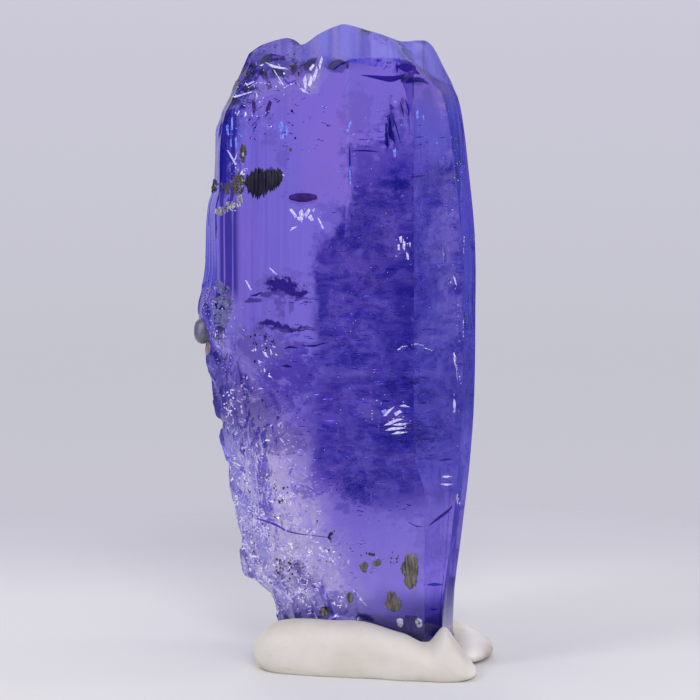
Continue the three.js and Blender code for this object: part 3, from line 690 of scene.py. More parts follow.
INK_CLOUDS = [
    ((287, 287, 22, 11), 40, (0.2, 0.7), (0.01, 0.035), dict(flatness=0.7, lie="facing", lean=0.4)),
    ((397, 186, 14, 11), 30, (0.3, 1.2), (0.01, 0.03), dict(flatness=0.6, lie="facing", lean=0.5)),
    ((352, 488, 22, 15), 60, (0.2, 1.0), (0.01, 0.04), dict(flatness=0.7, lie="facing", lean=0.6)),
    ((360, 255, 26, 45), 40, (0.3, 1.8), (0.01, 0.035), dict(flatness=0.5, lie="facing", lean=0.4)),
    ((270, 130, 26, 24), 14, (0.05, 0.5), (0.015, 0.04), dict(flatness=0.6, lie="facing", lean=0.5)),
    ((268, 300, 18, 30), 16, (0.1, 0.6), (0.015, 0.04), dict(flatness=0.4, lie="facing", lean=0.5)),
]
# Rows at the skin, depths -0.01 to 0, are painted light-blue glints; the deeper rows are blue films inside.
BLUE_FILMS_AND_GLINTS = [
    ((236, 128, 8, 18), 13, (-0.01, 0.0), (0.02, 0.07), dict(flatness=0.5, lie="facing", lean=0.5)),
    ((284, 130, 4, 7), 6, (-0.01, 0.0), (0.02, 0.06), dict(flatness=0.5, lie="facing", lean=0.8)),
    ((382, 125, 20, 40), 8, (-0.01, 0.0), (0.02, 0.06), dict(flatness=0.4, lie="facing", lean=0.5)),
    ((450, 140, 14, 40), 9, (-0.01, 0.0), (0.02, 0.07), dict(flatness=0.5, lie="facing", lean=0.5)),
    ((390, 415, 40, 18), 11, (0.1, 0.6), (0.03, 0.09), dict(flatness=0.4)),
    ((355, 480, 14, 10), 6, (0.1, 0.5), (0.02, 0.06), dict(flatness=0.5, lie="facing", lean=0.5)),
    ((240, 330, 9, 22), 5, (-0.01, 0.0), (0.02, 0.07), dict(flatness=0.6, lie="facing", lean=0.4)),
]
# Painted glints: bright flecks on the skin where etched facets and edges would catch the lamps.
BRIGHT_GLINTS = [
    ((402, 247, 8, 13), 9, (-0.012, 0.0), (0.01, 0.04), dict(flatness=0.4, lie="facing", lean=0.8)),
    ((455, 283, 6, 9), 8, (-0.012, 0.0), (0.012, 0.05), dict(flatness=0.4, lie="facing", lean=0.8)),
    ((396, 424, 16, 9), 12, (-0.012, 0.0), (0.01, 0.04), dict(flatness=0.3, lie="facing", lean=0.25)),
    ((372, 408, 14, 14), 10, (-0.012, 0.0), (0.01, 0.035), dict(flatness=0.4, lie="facing", lean=0.8)),
    ((307, 216, 18, 10), 10, (-0.012, 0.0), (0.008, 0.025), dict(flatness=0.4, lie="facing", lean=0.9)),
    ((263, 352, 16, 14), 12, (-0.012, 0.0), (0.01, 0.035), dict(flatness=0.4, lie="facing", lean=0.9)),
    ((330, 556, 9, 10), 14, (-0.012, 0.0), (0.01, 0.03), dict(flatness=0.4, lie="facing", lean=0.9)),
    ((456, 300, 5, 170), 34, (-0.012, 0.0), (0.01, 0.035), dict(flatness=0.5, lie="facing", lean=0.8)),
    ((456, 160, 8, 24), 12, (-0.012, 0.0), (0.01, 0.04), dict(flatness=0.4, lie="facing", lean=0.8)),
    ((385, 230, 70, 140), 44, (-0.01, 0.0), (0.008, 0.025), dict(flatness=0.5, lie="facing", lean=0.8)),
    ((340, 420, 70, 90), 34, (-0.01, 0.0), (0.008, 0.025), dict(flatness=0.5, lie="facing", lean=0.8)),
    ((236, 335, 10, 40), 24, (-0.02, 0.02), (0.01, 0.035), dict(flatness=0.4, lie="facing", lean=0.9)),
    ((258, 96, 22, 20), 8, (-0.012, 0.0), (0.01, 0.03), dict(flatness=0.4, lie="facing", lean=0.9)),
    ((270, 510, 55, 110), 150, (-0.012, 0.0), (0.01, 0.03), dict(flatness=0.4, lie="facing", lean=0.9)),
    ((245, 500, 14, 90), 50, (-0.03, 0.0), (0.01, 0.04), dict(flatness=0.4, lie="facing", lean=0.9)),
]

# Strokes: depth, then rows of (x, y, half width). The bright ones are painted glints: they lie on the skin
# and are the rows alone.

DARK_STROKES_AND_SHADE = [
    # The first two rows are painted shade: a dark crescent and sliver under the rim's steps, where inner
    # reflections look dark.
    (0.05, [(327, 70, 0.4), (331, 64, 2.4), (338, 61.5, 2.6), (346, 62.5, 0.4)]),
    (0.05, [(361, 75, 0.3), (375, 77, 1.6), (390, 79, 3), (400, 77, 2), (406, 74, 0.3)]),
    (0.06, [(396, 66, 0.5), (404, 67, 4), (412, 69, 4.5), (420, 74, 0.6)]),
    (0.06, [(405, 83, 0.5), (412, 80, 2.6), (422, 80, 2.2), (429, 84, 0.5)]),
    (0.02, [(428, 44, 0.3), (427.8, 58, 0.7), (427, 74, 0.3)]),
    (0.3, [(389, 113, 0.2), (390, 124, 1.2), (391, 134, 2.6), (395, 143, 0.4)]),
    (0.3, [(386, 122, 0.2), (386, 132, 1.0), (387, 144, 1.6), (388, 148, 0.3)]),
    (0.3, [(392, 116, 0.2), (396, 126, 0.8), (400, 141, 0.3)]),
    (0.3, [(400, 101, 0.2), (402, 109, 0.7), (404, 118, 0.2)]),
    (0.3, [(405, 99, 0.2), (408, 108, 0.9), (409, 117, 0.2)]),
    (0.3, [(352, 151, 0.2), (360, 150.5, 0.8), (370, 151, 0.9), (379, 152, 0.2)]),
    (0.3, [(428.5, 526, 0.3), (436, 520, 1.5), (446, 512.5, 1.7), (454, 505, 0.4)]),
    (0.02, [
        (251, 517, 0.3), (262, 520, 0.8), (276, 525, 1.2), (285, 530, 0.9), (300, 534, 0.6), (335, 538, 0.2),
    ]),
    (0.3, [(250, 296, 0.3), (256, 295, 1.2), (262, 292, 0.3)]),
    (0.4, [(284, 349, 0.3), (290, 347, 1.2), (298, 348, 0.4)]),
    (0.4, [(281, 366, 0.3), (287, 366, 1.6), (292, 367, 0.3)]),
    (0.5, [(300, 345, 0.2), (312, 346, 0.9), (330, 342, 0.2)]),
    (0.2, [(408, 522, 0.3), (416, 526, 0.6), (424, 526.5, 0.3)]),
    (0.05, [(263, 57, 0.4), (270, 55, 1.6), (280, 57, 2.0), (286, 60, 0.5)]),
    (0.05, [(299, 67, 0.5), (305, 64, 1.6), (311, 61, 1.4), (316, 58, 0.4)]),
    (0.02, [(246, 66, 0.3), (254, 62, 1.2), (262, 64, 0.3)]),
    (0.02, [(232, 88, 0.3), (240, 84, 1.0), (249, 86, 0.3)]),
    (0.02, [(262, 76, 0.3), (267, 80, 1.0), (270, 86, 0.3)]),
    (0.02, [(283, 79, 0.3), (289, 83, 1.3), (296, 80, 0.3)]),
    (0.1, [(407, 617, 0.4), (411, 621, 1.8), (414, 627, 0.4)]),
]
BRIGHT_STROKES = [
    [(234, 498, 0.8), (243, 512, 2.4), (252, 522, 2.0), (262, 532, 1.4), (274, 546, 0.8)],
    [(243, 520, 0.8), (250, 530, 2.0), (256, 545, 1.4), (258, 560, 0.8)],
    [(229, 392, 0.6), (230, 405, 1.8), (227, 418, 0.8)],
    [(262, 560, 0.8), (258, 575, 1.8), (262, 590, 1.4), (270, 602, 0.8)],
    [(284, 592, 0.6), (298, 598, 1.4), (310, 607, 0.8)],
    [(284, 88, 0.2), (292, 84, 0.5), (300, 85, 0.3)],
    [(248, 88, 0.2), (258, 83, 0.4), (270, 84, 0.3)],
    [(398, 350, 0.2), (402, 347, 0.5), (408, 345.5, 0.3)],
    [(412, 345, 0.2), (418, 344, 0.5), (424, 346, 0.2)],
    [(424, 348, 0.2), (428, 349, 0.6), (432, 351, 0.2)],
    [(352, 589, 0.3), (357, 594, 0.8), (361, 600, 0.9), (367, 606, 0.4)],
    [(454, 353, 0.4), (455, 358, 1.6), (456, 366, 0.6), (459, 376, 1.0), (461, 384, 0.3)],
    [(454, 398, 0.3), (454.5, 405, 1.2), (453, 413, 0.4)],
    [(457, 494, 0.3), (458, 500, 1.2), (460, 505, 0.4)],
    [(464, 236, 0.1), (463.7, 246, 0.3), (463.5, 256, 0.1)],
    [(463.5, 318, 0.1), (463, 328, 0.3), (463, 338, 0.1)],
]
BLUE_STROKES = [
    (0.2, [(349.5, 146, 0.3), (349.5, 155, 1.3), (350, 165, 1.0), (350, 175, 1.6), (349, 186, 0.3)]),
    (0.3, [(427, 584.5, 0.4), (434, 584.5, 1.7), (443, 584.5, 0.5)]),
    (0.3, [(430, 609, 0.3), (434, 609.5, 1.0), (438, 609.5, 0.3)]),
    (0.1, [(396.5, 62, 0.4), (397, 67, 1.8), (397, 73, 0.4)]),
    (0.1, [(381, 400, 0.4), (386, 401, 1.0), (390, 401, 0.4)]),
]

# Grains of matrix and rust in and on the skin: (ellipse), count, depths, radii.

MATRIX_GRAINS = [
    ((221, 211, 5, 4), 60, (-0.05, -0.01), (0.012, 0.04)),
    ((231, 206, 7, 3.5), 60, (-0.05, -0.01), (0.012, 0.035)),
    ((240, 199, 3, 4.5), 24, (-0.05, -0.01), (0.012, 0.035)),
    ((238, 180, 8, 12), 40, (-0.04, 0.0), (0.01, 0.025)),
    ((208, 305, 6, 18), 24, (-0.02, 0.02), (0.01, 0.03)),
]
RUST_GRAINS = [
    ((238, 184, 7, 10), 110, (-0.04, 0.0), (0.012, 0.045)),
    ((243, 153, 3, 9), 50, (-0.03, 0.02), (0.015, 0.045)),
    ((225, 188, 4, 6), 36, (-0.04, 0.0), (0.012, 0.04)),
    ((214, 186, 3, 7), 30, (-0.03, 0.02), (0.02, 0.05)),
    ((262, 342, 13, 11), 30, (0.02, 0.2), (0.01, 0.03)),
    ((290, 569, 15, 12), 40, (0.0, 0.1), (0.01, 0.035)),
    ((326, 611, 6, 4), 24, (0.0, 0.06), (0.02, 0.05)),
    ((331, 537, 3, 5), 6, (0.0, 0.1), (0.02, 0.05)),
    ((280, 493, 10, 10), 8, (0.0, 0.1), (0.02, 0.05)),
    ((262, 420, 34, 60), 16, (0.0, 0.15), (0.012, 0.035)),
    ((262, 520, 20, 60), 26, (0.0, 0.15), (0.012, 0.035)),
    ((298, 558, 60, 50), 22, (0.0, 0.15), (0.012, 0.03)),
    ((366, 560, 12, 8), 6, (0.0, 0.1), (0.02, 0.05)),
    ((395, 558, 8, 6), 8, (0.0, 0.1), (0.015, 0.035)),
    ((290, 130, 10, 20), 5, (0.0, 0.1), (0.02, 0.04)),
]


def inner_clouds(rows, seed):
    rng = np.random.default_rng(seed)
    return joined([plate_cloud(rng, *where, **lie) for *where, lie in rows])


def inner_strokes(rows):
    return joined([stroke(spine, depth) for depth, spine in rows])


CRUST_FLAKES = [
    ((222, 304, 9, 22), 60, (-0.02, 0.01), (0.05, 0.2), dict(flatness=0.6, lie="facing", lean=0.3)),
    ((217, 330, 7, 14), 16, (-0.02, 0.01), (0.04, 0.14), dict(flatness=0.6, lie="facing", lean=0.3)),
]
FROST = [
    ((272, 530, 60, 100), 130, (-0.012, 0.0), (0.012, 0.05), dict(flatness=0.5, lie="facing", lean=0.5)),
    ((252, 520, 26, 80), 70, (-0.012, 0.0), (0.012, 0.05), dict(flatness=0.5, lie="facing", lean=0.5)),
    ((222, 330, 16, 45), 40, (-0.02, 0.0), (0.012, 0.04), dict(flatness=0.5, lie="facing", lean=0.6)),
    ((262, 95, 34, 36), 14, (-0.012, 0.0), (0.01, 0.03), dict(flatness=0.5, lie="facing", lean=0.7)),
]
# Painted glints along the etched edges.
WHITE_CRINKLE_GLINTS = [
    ((262, 520, 34, 90), 36, (2, 7)),
    ((300, 560, 40, 45), 24, (2, 8)),
    ((228, 402, 7, 14), 22, (2, 6)),
    ((233, 462, 5, 6), 10, (2, 7)),
    ((240, 478, 9, 7), 16, (2, 7)),
    ((236, 505, 6, 14), 22, (2, 7)),
    ((252, 515, 12, 9), 26, (2, 7)),
    ((263, 531, 8, 7), 16, (2, 7)),
    ((290, 498, 9, 6), 12, (2, 8)),
    ((246, 552, 8, 16), 24, (2, 7)),
    ((262, 575, 10, 12), 18, (2, 7)),
    ((288, 548, 9, 9), 14, (2, 6)),
    ((315, 548, 12, 7), 12, (2, 7)),
    ((276, 602, 14, 9), 22, (2, 6)),
    ((302, 592, 8, 8), 12, (2, 8)),
    ((340, 602, 9, 7), 14, (2, 6)),
    ((262, 618, 12, 8), 12, (2, 6)),
    ((220, 318, 12, 30), 9, (2, 6)),
    ((262, 352, 14, 10), 10, (2, 6)),
    ((268, 372, 8, 6), 6, (2, 6)),
    ((330, 556, 12, 10), 8, (2, 5)),
    ((275, 68, 18, 8), 8, (2, 6)),
    ((250, 100, 22, 16), 8, (2, 7)),
    ((232, 206, 9, 6), 14, (2, 6)),
    ((262, 176, 12, 4), 6, (3, 6)),
    ((240, 176, 7, 14), 10, (2, 7)),
]
SOFT_CRINKLES = [
    ((270, 530, 48, 100), 110, (2, 9)),
    ((310, 570, 46, 40), 50, (2, 8)),
    ((246, 430, 22, 60), 55, (2, 8)),
    ((222, 320, 14, 42), 26, (2, 7)),
    ((258, 92, 30, 34), 14, (2, 7)),
]


def glint_trails(rows, seed):
    rng = np.random.default_rng(seed)
    return joined([fleck_trail(rng, spine, 1.5, (0.01, 0.035)) for spine in rows])


def grain_heaps(rows, seed):
    rng = np.random.default_rng(seed)
    return joined([lumps(rng, *heap) for heap in rows])


GRAPHITE_TOP = [(246, 178), (251, 170), (258, 167.5), (264, 169), (270, 168), (277, 167.5), (283, 172)]
GRAPHITE_BOTTOM = [(246, 186), (250, 194), (256, 199), (263, 197.5), (270, 193), (277, 188), (283, 180)]


def graphite_needles():
    """
    Graphite: a dense bundle of upright pointed blades side by side, each an ellipse swollen in its middle.
    They reach from the lower to the upper outline, give or take a random bit.
    """
    rng = np.random.default_rng(31)
    blades = []
    for across in np.linspace(247, 282, 64):
        lean = 3 * (rng.random() - 0.35)
        high = float(along(GRAPHITE_TOP, across)) - 1.5 + 4.5 * rng.random()
        low = float(along(GRAPHITE_BOTTOM, across)) + 1.5 - 5 * rng.random()
        width = 0.7 + 1.3 * rng.random()
        tall = low - high
        foot, tip = (across - lean, low, 0.2), (across + lean, high, 0.2)
        spine = [foot, (across, low - 0.3 * tall, width), (across, high + 0.3 * tall, width), tip]
        blades.append(stroke(spine, 0.05 - 0.17 * rng.random(), 0.06))
    return joined(blades)


FLAKE_THICKNESS, FLAKE_CLEARANCE = 0.07, 0.05
FLAKES = [
    (2.21, 3.42, [
        (0.31, 0.03), (0.28, 0.3), (0.23, 0.56), (0.03, 0.65), (-0.16, 0.6), (-0.21, 0.36),
        (-0.31, 0.16), (-0.3, -0.07), (-0.16, -0.23), (-0.25, -0.43), (-0.16, -0.63), (0.1, -0.65),
        (0.25, -0.5), (0.23, -0.23),
    ]),
    (1.66, 2.35, [
        (0.28, 0.03), (0.13, 0.17), (0.07, 0.33), (-0.1, 0.38), (-0.23, 0.33), (-0.2, 0.12), (-0.27, 0.0),
        (-0.26, -0.23), (-0.13, -0.3), (0.03, -0.4), (0.2, -0.38), (0.28, -0.18),
    ]),
    (0.69, 3.45, [
        (0.15, 0.0), (0.16, 0.12), (0.06, 0.2), (-0.05, 0.15), (-0.15, 0.08), (-0.13, -0.05), (-0.05, -0.18),
        (0.11, -0.2), (0.09, -0.09),
    ]),
    (1.12, 3.61, [
        (0.15, -0.05), (0.16, 0.1), (0.05, 0.15), (-0.02, 0.08), (-0.12, 0.05), (-0.15, -0.05),
        (-0.11, -0.13), (0.02, -0.12),
    ]),
    (0.24, 2.38, [
        (0.12, -0.02), (0.11, 0.15), (0.0, 0.21), (-0.11, 0.18), (-0.13, 0.05), (-0.08, -0.08),
        (-0.02, -0.21), (0.06, -0.15),
    ]),
    (-0.58, 1.86, [
        (0.16, -0.02), (0.06, 0.02), (0.0, 0.1), (-0.1, 0.18), (-0.18, 0.11), (-0.12, 0.0), (-0.16, -0.13),
        (-0.06, -0.18), (0.0, -0.1), (0.11, -0.15),
    ]),
]


SILVER_OUTLINE = [
    (0.1, 0.02), (0.09, 0.15), (-0.02, 0.17), (-0.1, 0.14), (-0.11, -0.05), (-0.06, -0.16), (0.06, -0.17),
]
SILVER_FLAKES = [(1.9, 1.66), (2.52, 1.68)]


def ore_flake(middle_x, middle_z, outline):
    """
    Flake on the front face: each spoke runs from the middle to the ragged outline, whose reach is a
    straight share between its points plus small chips. The front stands out by the thickness, less at the
    rim, in upright striations; the back is flat.
    """
    spokes, rings = 160, 14
    corner_angle = np.unwrap([math.atan2(dz, dx) for dx, dz in outline])
    corner_reach = np.hypot(*np.array(outline).T)
    angle = corner_angle[0] + 2 * np.pi * np.arange(spokes) / spokes
    around = np.append(corner_angle, corner_angle[0] + 2 * np.pi)
    reach = np.interp(angle, around, np.append(corner_reach, corner_reach[0]))
    bites, nicks = chance(np.floor(angle * 9), 0, middle_x), chance(np.arange(spokes), 1, 2)
    reach = reach * (1 - 0.16 * bites - 0.05 * nicks)
    angle, reach = angle[::-1], reach[::-1]
    share = np.arange(1, rings + 1)[:, None] / rings
    dx, dz = share * reach * np.cos(angle), share * reach * np.sin(angle)
    fine_lines = growth_lines(dx + 0.15 * dz, middle_z + dz, 0.035, 91)
    ridges = fine_lines * 0.5 + growth_lines(dx, dz, 0.08, 93) * 0.5
    out = FLAKE_THICKNESS * (0.75 + ridges) * (1 - share**6)
    x, z = middle_x + dx, middle_z + dz
    under = front_face_y(x) - FLAKE_CLEARANCE
    front = np.stack([x, under - np.maximum(out, 0.0), z], -1)
    rear = np.stack([x, under, z], -1)[-2::-1]
    centre = [middle_x, front_face_y(middle_x) - FLAKE_CLEARANCE, middle_z]
    ends = np.array([centre, centre]) - [[0, FLAKE_THICKNESS, 0], [0, 0, 0]]
    points = np.concatenate([front.reshape(-1, 3), rear.reshape(-1, 3), ends])
    return points, tube_faces(2 * rings - 1, spokes)


def blot(rng, px, py, half_width, half_height, depth, raggedness):
    """
    Ragged dark patch inside the crystal, lying along the skin: spokes and rings as a closed lens whose
    reach wanders with the angle as a sum of waves of random phase.
    """
    spokes, rings = 96, 5
    angle = 2 * np.pi * np.arange(spokes) / spokes
    waves = [np.cos(k * angle + 6.3 * rng.random()) / k**0.6 for k in (2, 3, 5, 8, 13, 21)]
    reach = 1 + raggedness * np.sum(waves, 0) / 2
    share = np.concatenate([np.arange(1, rings + 1), np.arange(rings - 1, 0, -1)])[:, None] / rings
    side = np.repeat([1.0, -1.0], [rings, rings - 1])[:, None]
    x, y = px + half_width * share * reach * np.cos(angle), py + half_height * share * reach * np.sin(angle)
    swell = 0.04 * (1 - share**2) * side + 0 * angle
    points, _, _ = behind(x, y, depth - swell)
    ends, _, _ = behind(np.full(2, px), np.full(2, py), depth - np.array([0.05, -0.05]))
    return np.concatenate([points.reshape(-1, 3), ends]), tube_faces(2 * rings - 1, spokes)


def chip(outline, depth, thickness, swell):
    """
    Small many-cornered plate along the skin. Its outline is given as sight points; front and rear are
    fans round the middle, and the front's middle stands out by the swell.
    """
    x, y = np.array(outline, float).T
    if (x * np.roll(y, -1) - np.roll(x, -1) * y).sum() > 0:
        x, y = x[::-1], y[::-1]
    count = len(x)
    front, _, _ = behind(x, y, depth)
    rear, _, _ = behind(x, y, depth + thickness)
    middle, _, _ = behind(x.mean(), y.mean(), np.array([depth - swell, depth + thickness]))
    c = np.arange(count)
    n = (c + 1) % count
    fan = np.stack([c, n, np.full(count, 2 * count)], -1).tolist()
    fan += np.stack([n + count, c + count, np.full(count, 2 * count + 1)], -1).tolist()
    sides = np.stack([c, c + count, n + count, n], -1).tolist()
    return np.concatenate([front, rear, middle]), fan + sides


def chips(outlines, depth, thickness, swell):
    return joined([chip(outline, depth, thickness, swell) for outline in outlines])


OCHRE_OUTLINE = [(203, 341), (208, 340), (211, 346), (210, 353), (206, 356), (205, 349)]
INK_CHIPS_AND_SHADE = [
    [(258, 61), (266, 55), (285, 56), (284, 60), (275, 61), (263, 64)],
    [(243, 64), (252, 61), (256, 66), (254, 76), (246, 80), (239, 82), (240, 72)],
    [(271, 68), (284, 71), (284, 78), (279, 76), (273, 74)],
    [(303, 68), (308, 60), (318, 57), (314, 66), (306, 71)],
    [(234, 84), (240, 76), (243, 84), (238, 90), (231, 92)],
    [(240, 90), (250, 86), (256, 88), (248, 93)],
    [(228, 100), (236, 97), (241, 101), (236, 104), (229, 106)],
    [(405, 615), (417, 616), (415, 627), (410, 629), (404, 622)],
    # Painted shade: the dark crescent under the rim's step, where inner reflections look dark.
    [(328, 69), (333, 63), (341, 61), (347, 63), (340, 65), (334, 70)],
]
PLUM_CHIPS = [
    [(259, 71), (263, 67), (267, 72), (268, 79), (263, 80)],
    [(289, 66), (296, 64), (298, 70), (293, 75)],
    [(266, 84), (270, 80), (272, 88), (268, 90)],
    [(252, 100), (255, 98), (256, 112), (253, 114)],
    [(266, 108), (269, 100), (272, 102), (269, 113), (265, 118)],
]
# Painted glints: small bright chips where facets and cleavage planes would flash white.
GLINT_CHIPS = [
    [(303, 80), (305.5, 75), (307, 81), (306, 91), (304.5, 88)],
    [(308, 84), (311, 75), (313, 79), (311, 86), (308, 95)],
    [(313, 77), (317, 66), (318, 70), (316, 78), (314, 82)],
    [(318.5, 65), (322, 56), (323, 60), (320, 70)],
    [(299, 88), (304, 89), (310, 94), (303, 92)],
    [(309, 69), (313, 64), (315, 65), (311, 71)],
    [(273.5, 70), (274.5, 70), (284, 85), (283, 86)],
    [(265, 62), (273, 65), (285, 68), (284, 69.5), (272, 67.5)],
    [(246, 84), (254, 81), (255, 82), (247, 86)],
    [(233, 96.5), (243, 94), (252, 91.5), (252, 92.5), (243, 95.5), (235, 98)],
    [(256, 92), (258, 96), (258, 104), (256.5, 98)],
    [(289, 209), (292, 208.5), (297, 216), (295, 218)],
    [(299, 212), (302, 209), (304, 215), (302, 223), (300, 219)],
    [(304.5, 214), (309, 208), (310.5, 211), (306, 218)],
    [(308, 217), (311, 214), (314, 220), (311, 221)],
    [(297, 217), (300, 217), (300, 221), (298, 220)],
    [(317.5, 218), (319, 218), (324, 228), (322.5, 229)],
    [(290, 231), (292, 227.5), (298, 226), (295, 228.5)],
    [(312, 210), (315, 208), (314, 212)],
    [(245, 280), (247, 281), (252, 290), (250, 290)],
    [(269, 267), (273, 270), (278, 275), (273, 273)],
    [(399, 237), (402, 236), (402, 243), (400, 242)],
    [(403, 240), (405.5, 242), (405, 251), (402.5, 248)],
    [(397.5, 245), (399.5, 244), (400, 250), (398, 250)],
    [(406, 252), (408.5, 254), (409, 260), (407, 259)],
    [(409, 242), (411, 243), (410, 248)],
    [(385, 430.5), (391, 427.5), (399, 427), (407, 428), (399, 429.5), (391, 430.5)],
    [(384, 425.5), (390, 421.5), (398, 418.5), (404, 419), (397, 421.5), (390, 425)],
    [(391, 434), (398, 431.5), (408, 432), (400, 434)],
    [(392, 425), (399, 423), (408, 423.5), (401, 426)],
    [(383, 416), (388, 410), (395, 406), (391, 411), (386, 416)],
    [(399, 406), (404, 404.5), (410, 407), (404, 407)],
    [(394, 413), (400, 410), (402, 412), (396, 416)],
    [(453, 276), (455, 278), (457, 286), (455, 284)],
    [(454, 352), (455.5, 356), (455, 366), (453.5, 360)],
    [(456, 368), (457, 373), (457.5, 382), (456.5, 376)],
    [(453.5, 398), (455.5, 403), (455, 413), (453, 407)],
    [(441, 477), (446, 475.5), (452, 476.5), (446, 478)],
    [(440, 484), (446, 483.5), (453, 484), (447, 486)],
    [(456, 494), (457, 498), (457.5, 505), (456.5, 502)],
    [(262, 351), (266, 352), (268, 358), (265, 356)],
    [(270, 348), (272, 352), (271, 356)],
    [(258, 360), (262, 362), (259, 364)],
    [(227, 150), (229, 151), (237, 164), (235, 165)],
    [(232, 165), (235, 158), (238, 151), (236.5, 158)],
    [(243, 152), (244, 152), (243, 166), (242.2, 160)],
    [(279, 172.5), (283, 174), (285, 176), (281, 175.5)],
]
# Painted light-blue glints.
SKY_GLINTS = [
    [(279, 124), (282, 121), (284, 128), (282, 133), (279, 130)],
    [(285, 127), (287, 125), (288, 134), (286, 137)],
    [(280, 135), (284, 134), (284, 140), (281, 139)],
    [(348, 124), (351, 121), (352, 124), (349, 128)],
    [(346, 130), (348, 128), (349, 131), (347, 133)],
    [(231, 118), (233, 117), (233, 130), (231.5, 128)],
    [(226, 126), (228, 124), (229, 136), (227, 134)],
    [(235, 138), (237, 136), (237, 150), (235.5, 148)],
    [(230, 140), (231.5, 139), (232, 147), (230.5, 146)],
    [(416, 112), (418, 110), (418.5, 118), (416.5, 119)],
    [(422, 116), (424, 115), (424, 121)],
    [(393, 150), (396, 148), (396, 156), (394, 158)],
    [(381, 411), (386, 409), (388, 413), (383, 414)],
    [(349, 168), (350.5, 166), (351, 184), (349.5, 186)],
]


VEIL_START, VEIL_LIFT, VEIL_THICKNESS = 32, 0.01, 0.008


def crown_veil():
    """
    Thin bloom on the front skin, right of its left end: the skin's own grid moved out along its outward
    directions, a little more for the outer side than for the inner one, closed all round.
    """
    skin, outward = FRONT_SKIN
    skin, outward = skin[:, VEIL_START:], outward[:, VEIL_START:]
    inner = skin + outward * VEIL_LIFT
    outer = inner + outward * VEIL_THICKNESS
    rings = np.concatenate([outer, inner[:, ::-1]], 1)
    rows, across = rings.shape[:2]
    c = np.arange(across // 2 - 1)
    low = np.stack([c, across - 1 - c, across - 2 - c, c + 1], -1)
    high = low[:, ::-1] + (rows - 1) * across
    return rings.reshape(-1, 3), np.concatenate([ring_faces(rows, across), low, high]).tolist()


CRINKLE_TURN, CRINKLE_SPREAD = 0.9, 1.2  # most crinkles run down to the right at this angle, in radians


def crinkles(rows, seed):
    """
    Etched edges on the skin, short bent ribbons: the white ones are painted glints along the edges, the
    frost-coloured ones show the etch's own colour. Each is a flat strip carried along an arc of sight points
    from its middle, pointed at both ends, a little proud of the skin.
    """
    rng = np.random.default_rng(seed)
    parts = []
    for spot, count, size in rows:
        x, y = strewn(rng, spot, count)
        heading = CRINKLE_TURN + CRINKLE_SPREAD * (rng.random(count) - 0.5) * 2
        run = (size[0] + (size[1] - size[0]) * rng.random(count) ** 2)[:, None]
        bend = (rng.random(count)[:, None] - 0.5) * 1.7
        t = np.linspace(-1, 1, 9)[None]
        way = heading[:, None] + bend * t
        px = x[:, None] + np.cumsum(np.cos(way), 1) * run / 9
        py = y[:, None] + np.cumsum(np.sin(way), 1) * run / 9
        half = (0.2 + 0.75 * rng.random(count)[:, None] ** 1.5) * (1 - t**2) + 0.04
        left, _, met = behind(px + np.sin(way) * half, py - np.cos(way) * half, -0.012)
        right, _, _ = behind(px - np.sin(way) * half, py + np.cos(way) * half, -0.012)
        top, _, _ = behind(px, py, -0.03 + 0.012 * rng.random(count)[:, None])
        strips = np.stack([left, top, right], 2)[met.all(1)].reshape(-1, 27, 3)
        parts.append((strips.reshape(-1, 3), len(strips)))
    points = np.concatenate([p for p, _ in parts])
    quads = ring_faces(9, 3)
    tips = np.array([[2, 1, 0, 0], [24, 25, 26, 26]])
    faces = np.concatenate([quads, tips])[None] + 27 * np.arange(sum(k for _, k in parts))[:, None, None]
    return points, [list(dict.fromkeys(f)) for f in faces.reshape(-1, 4).tolist()]


# ------------------------------------------------------------------ finishes


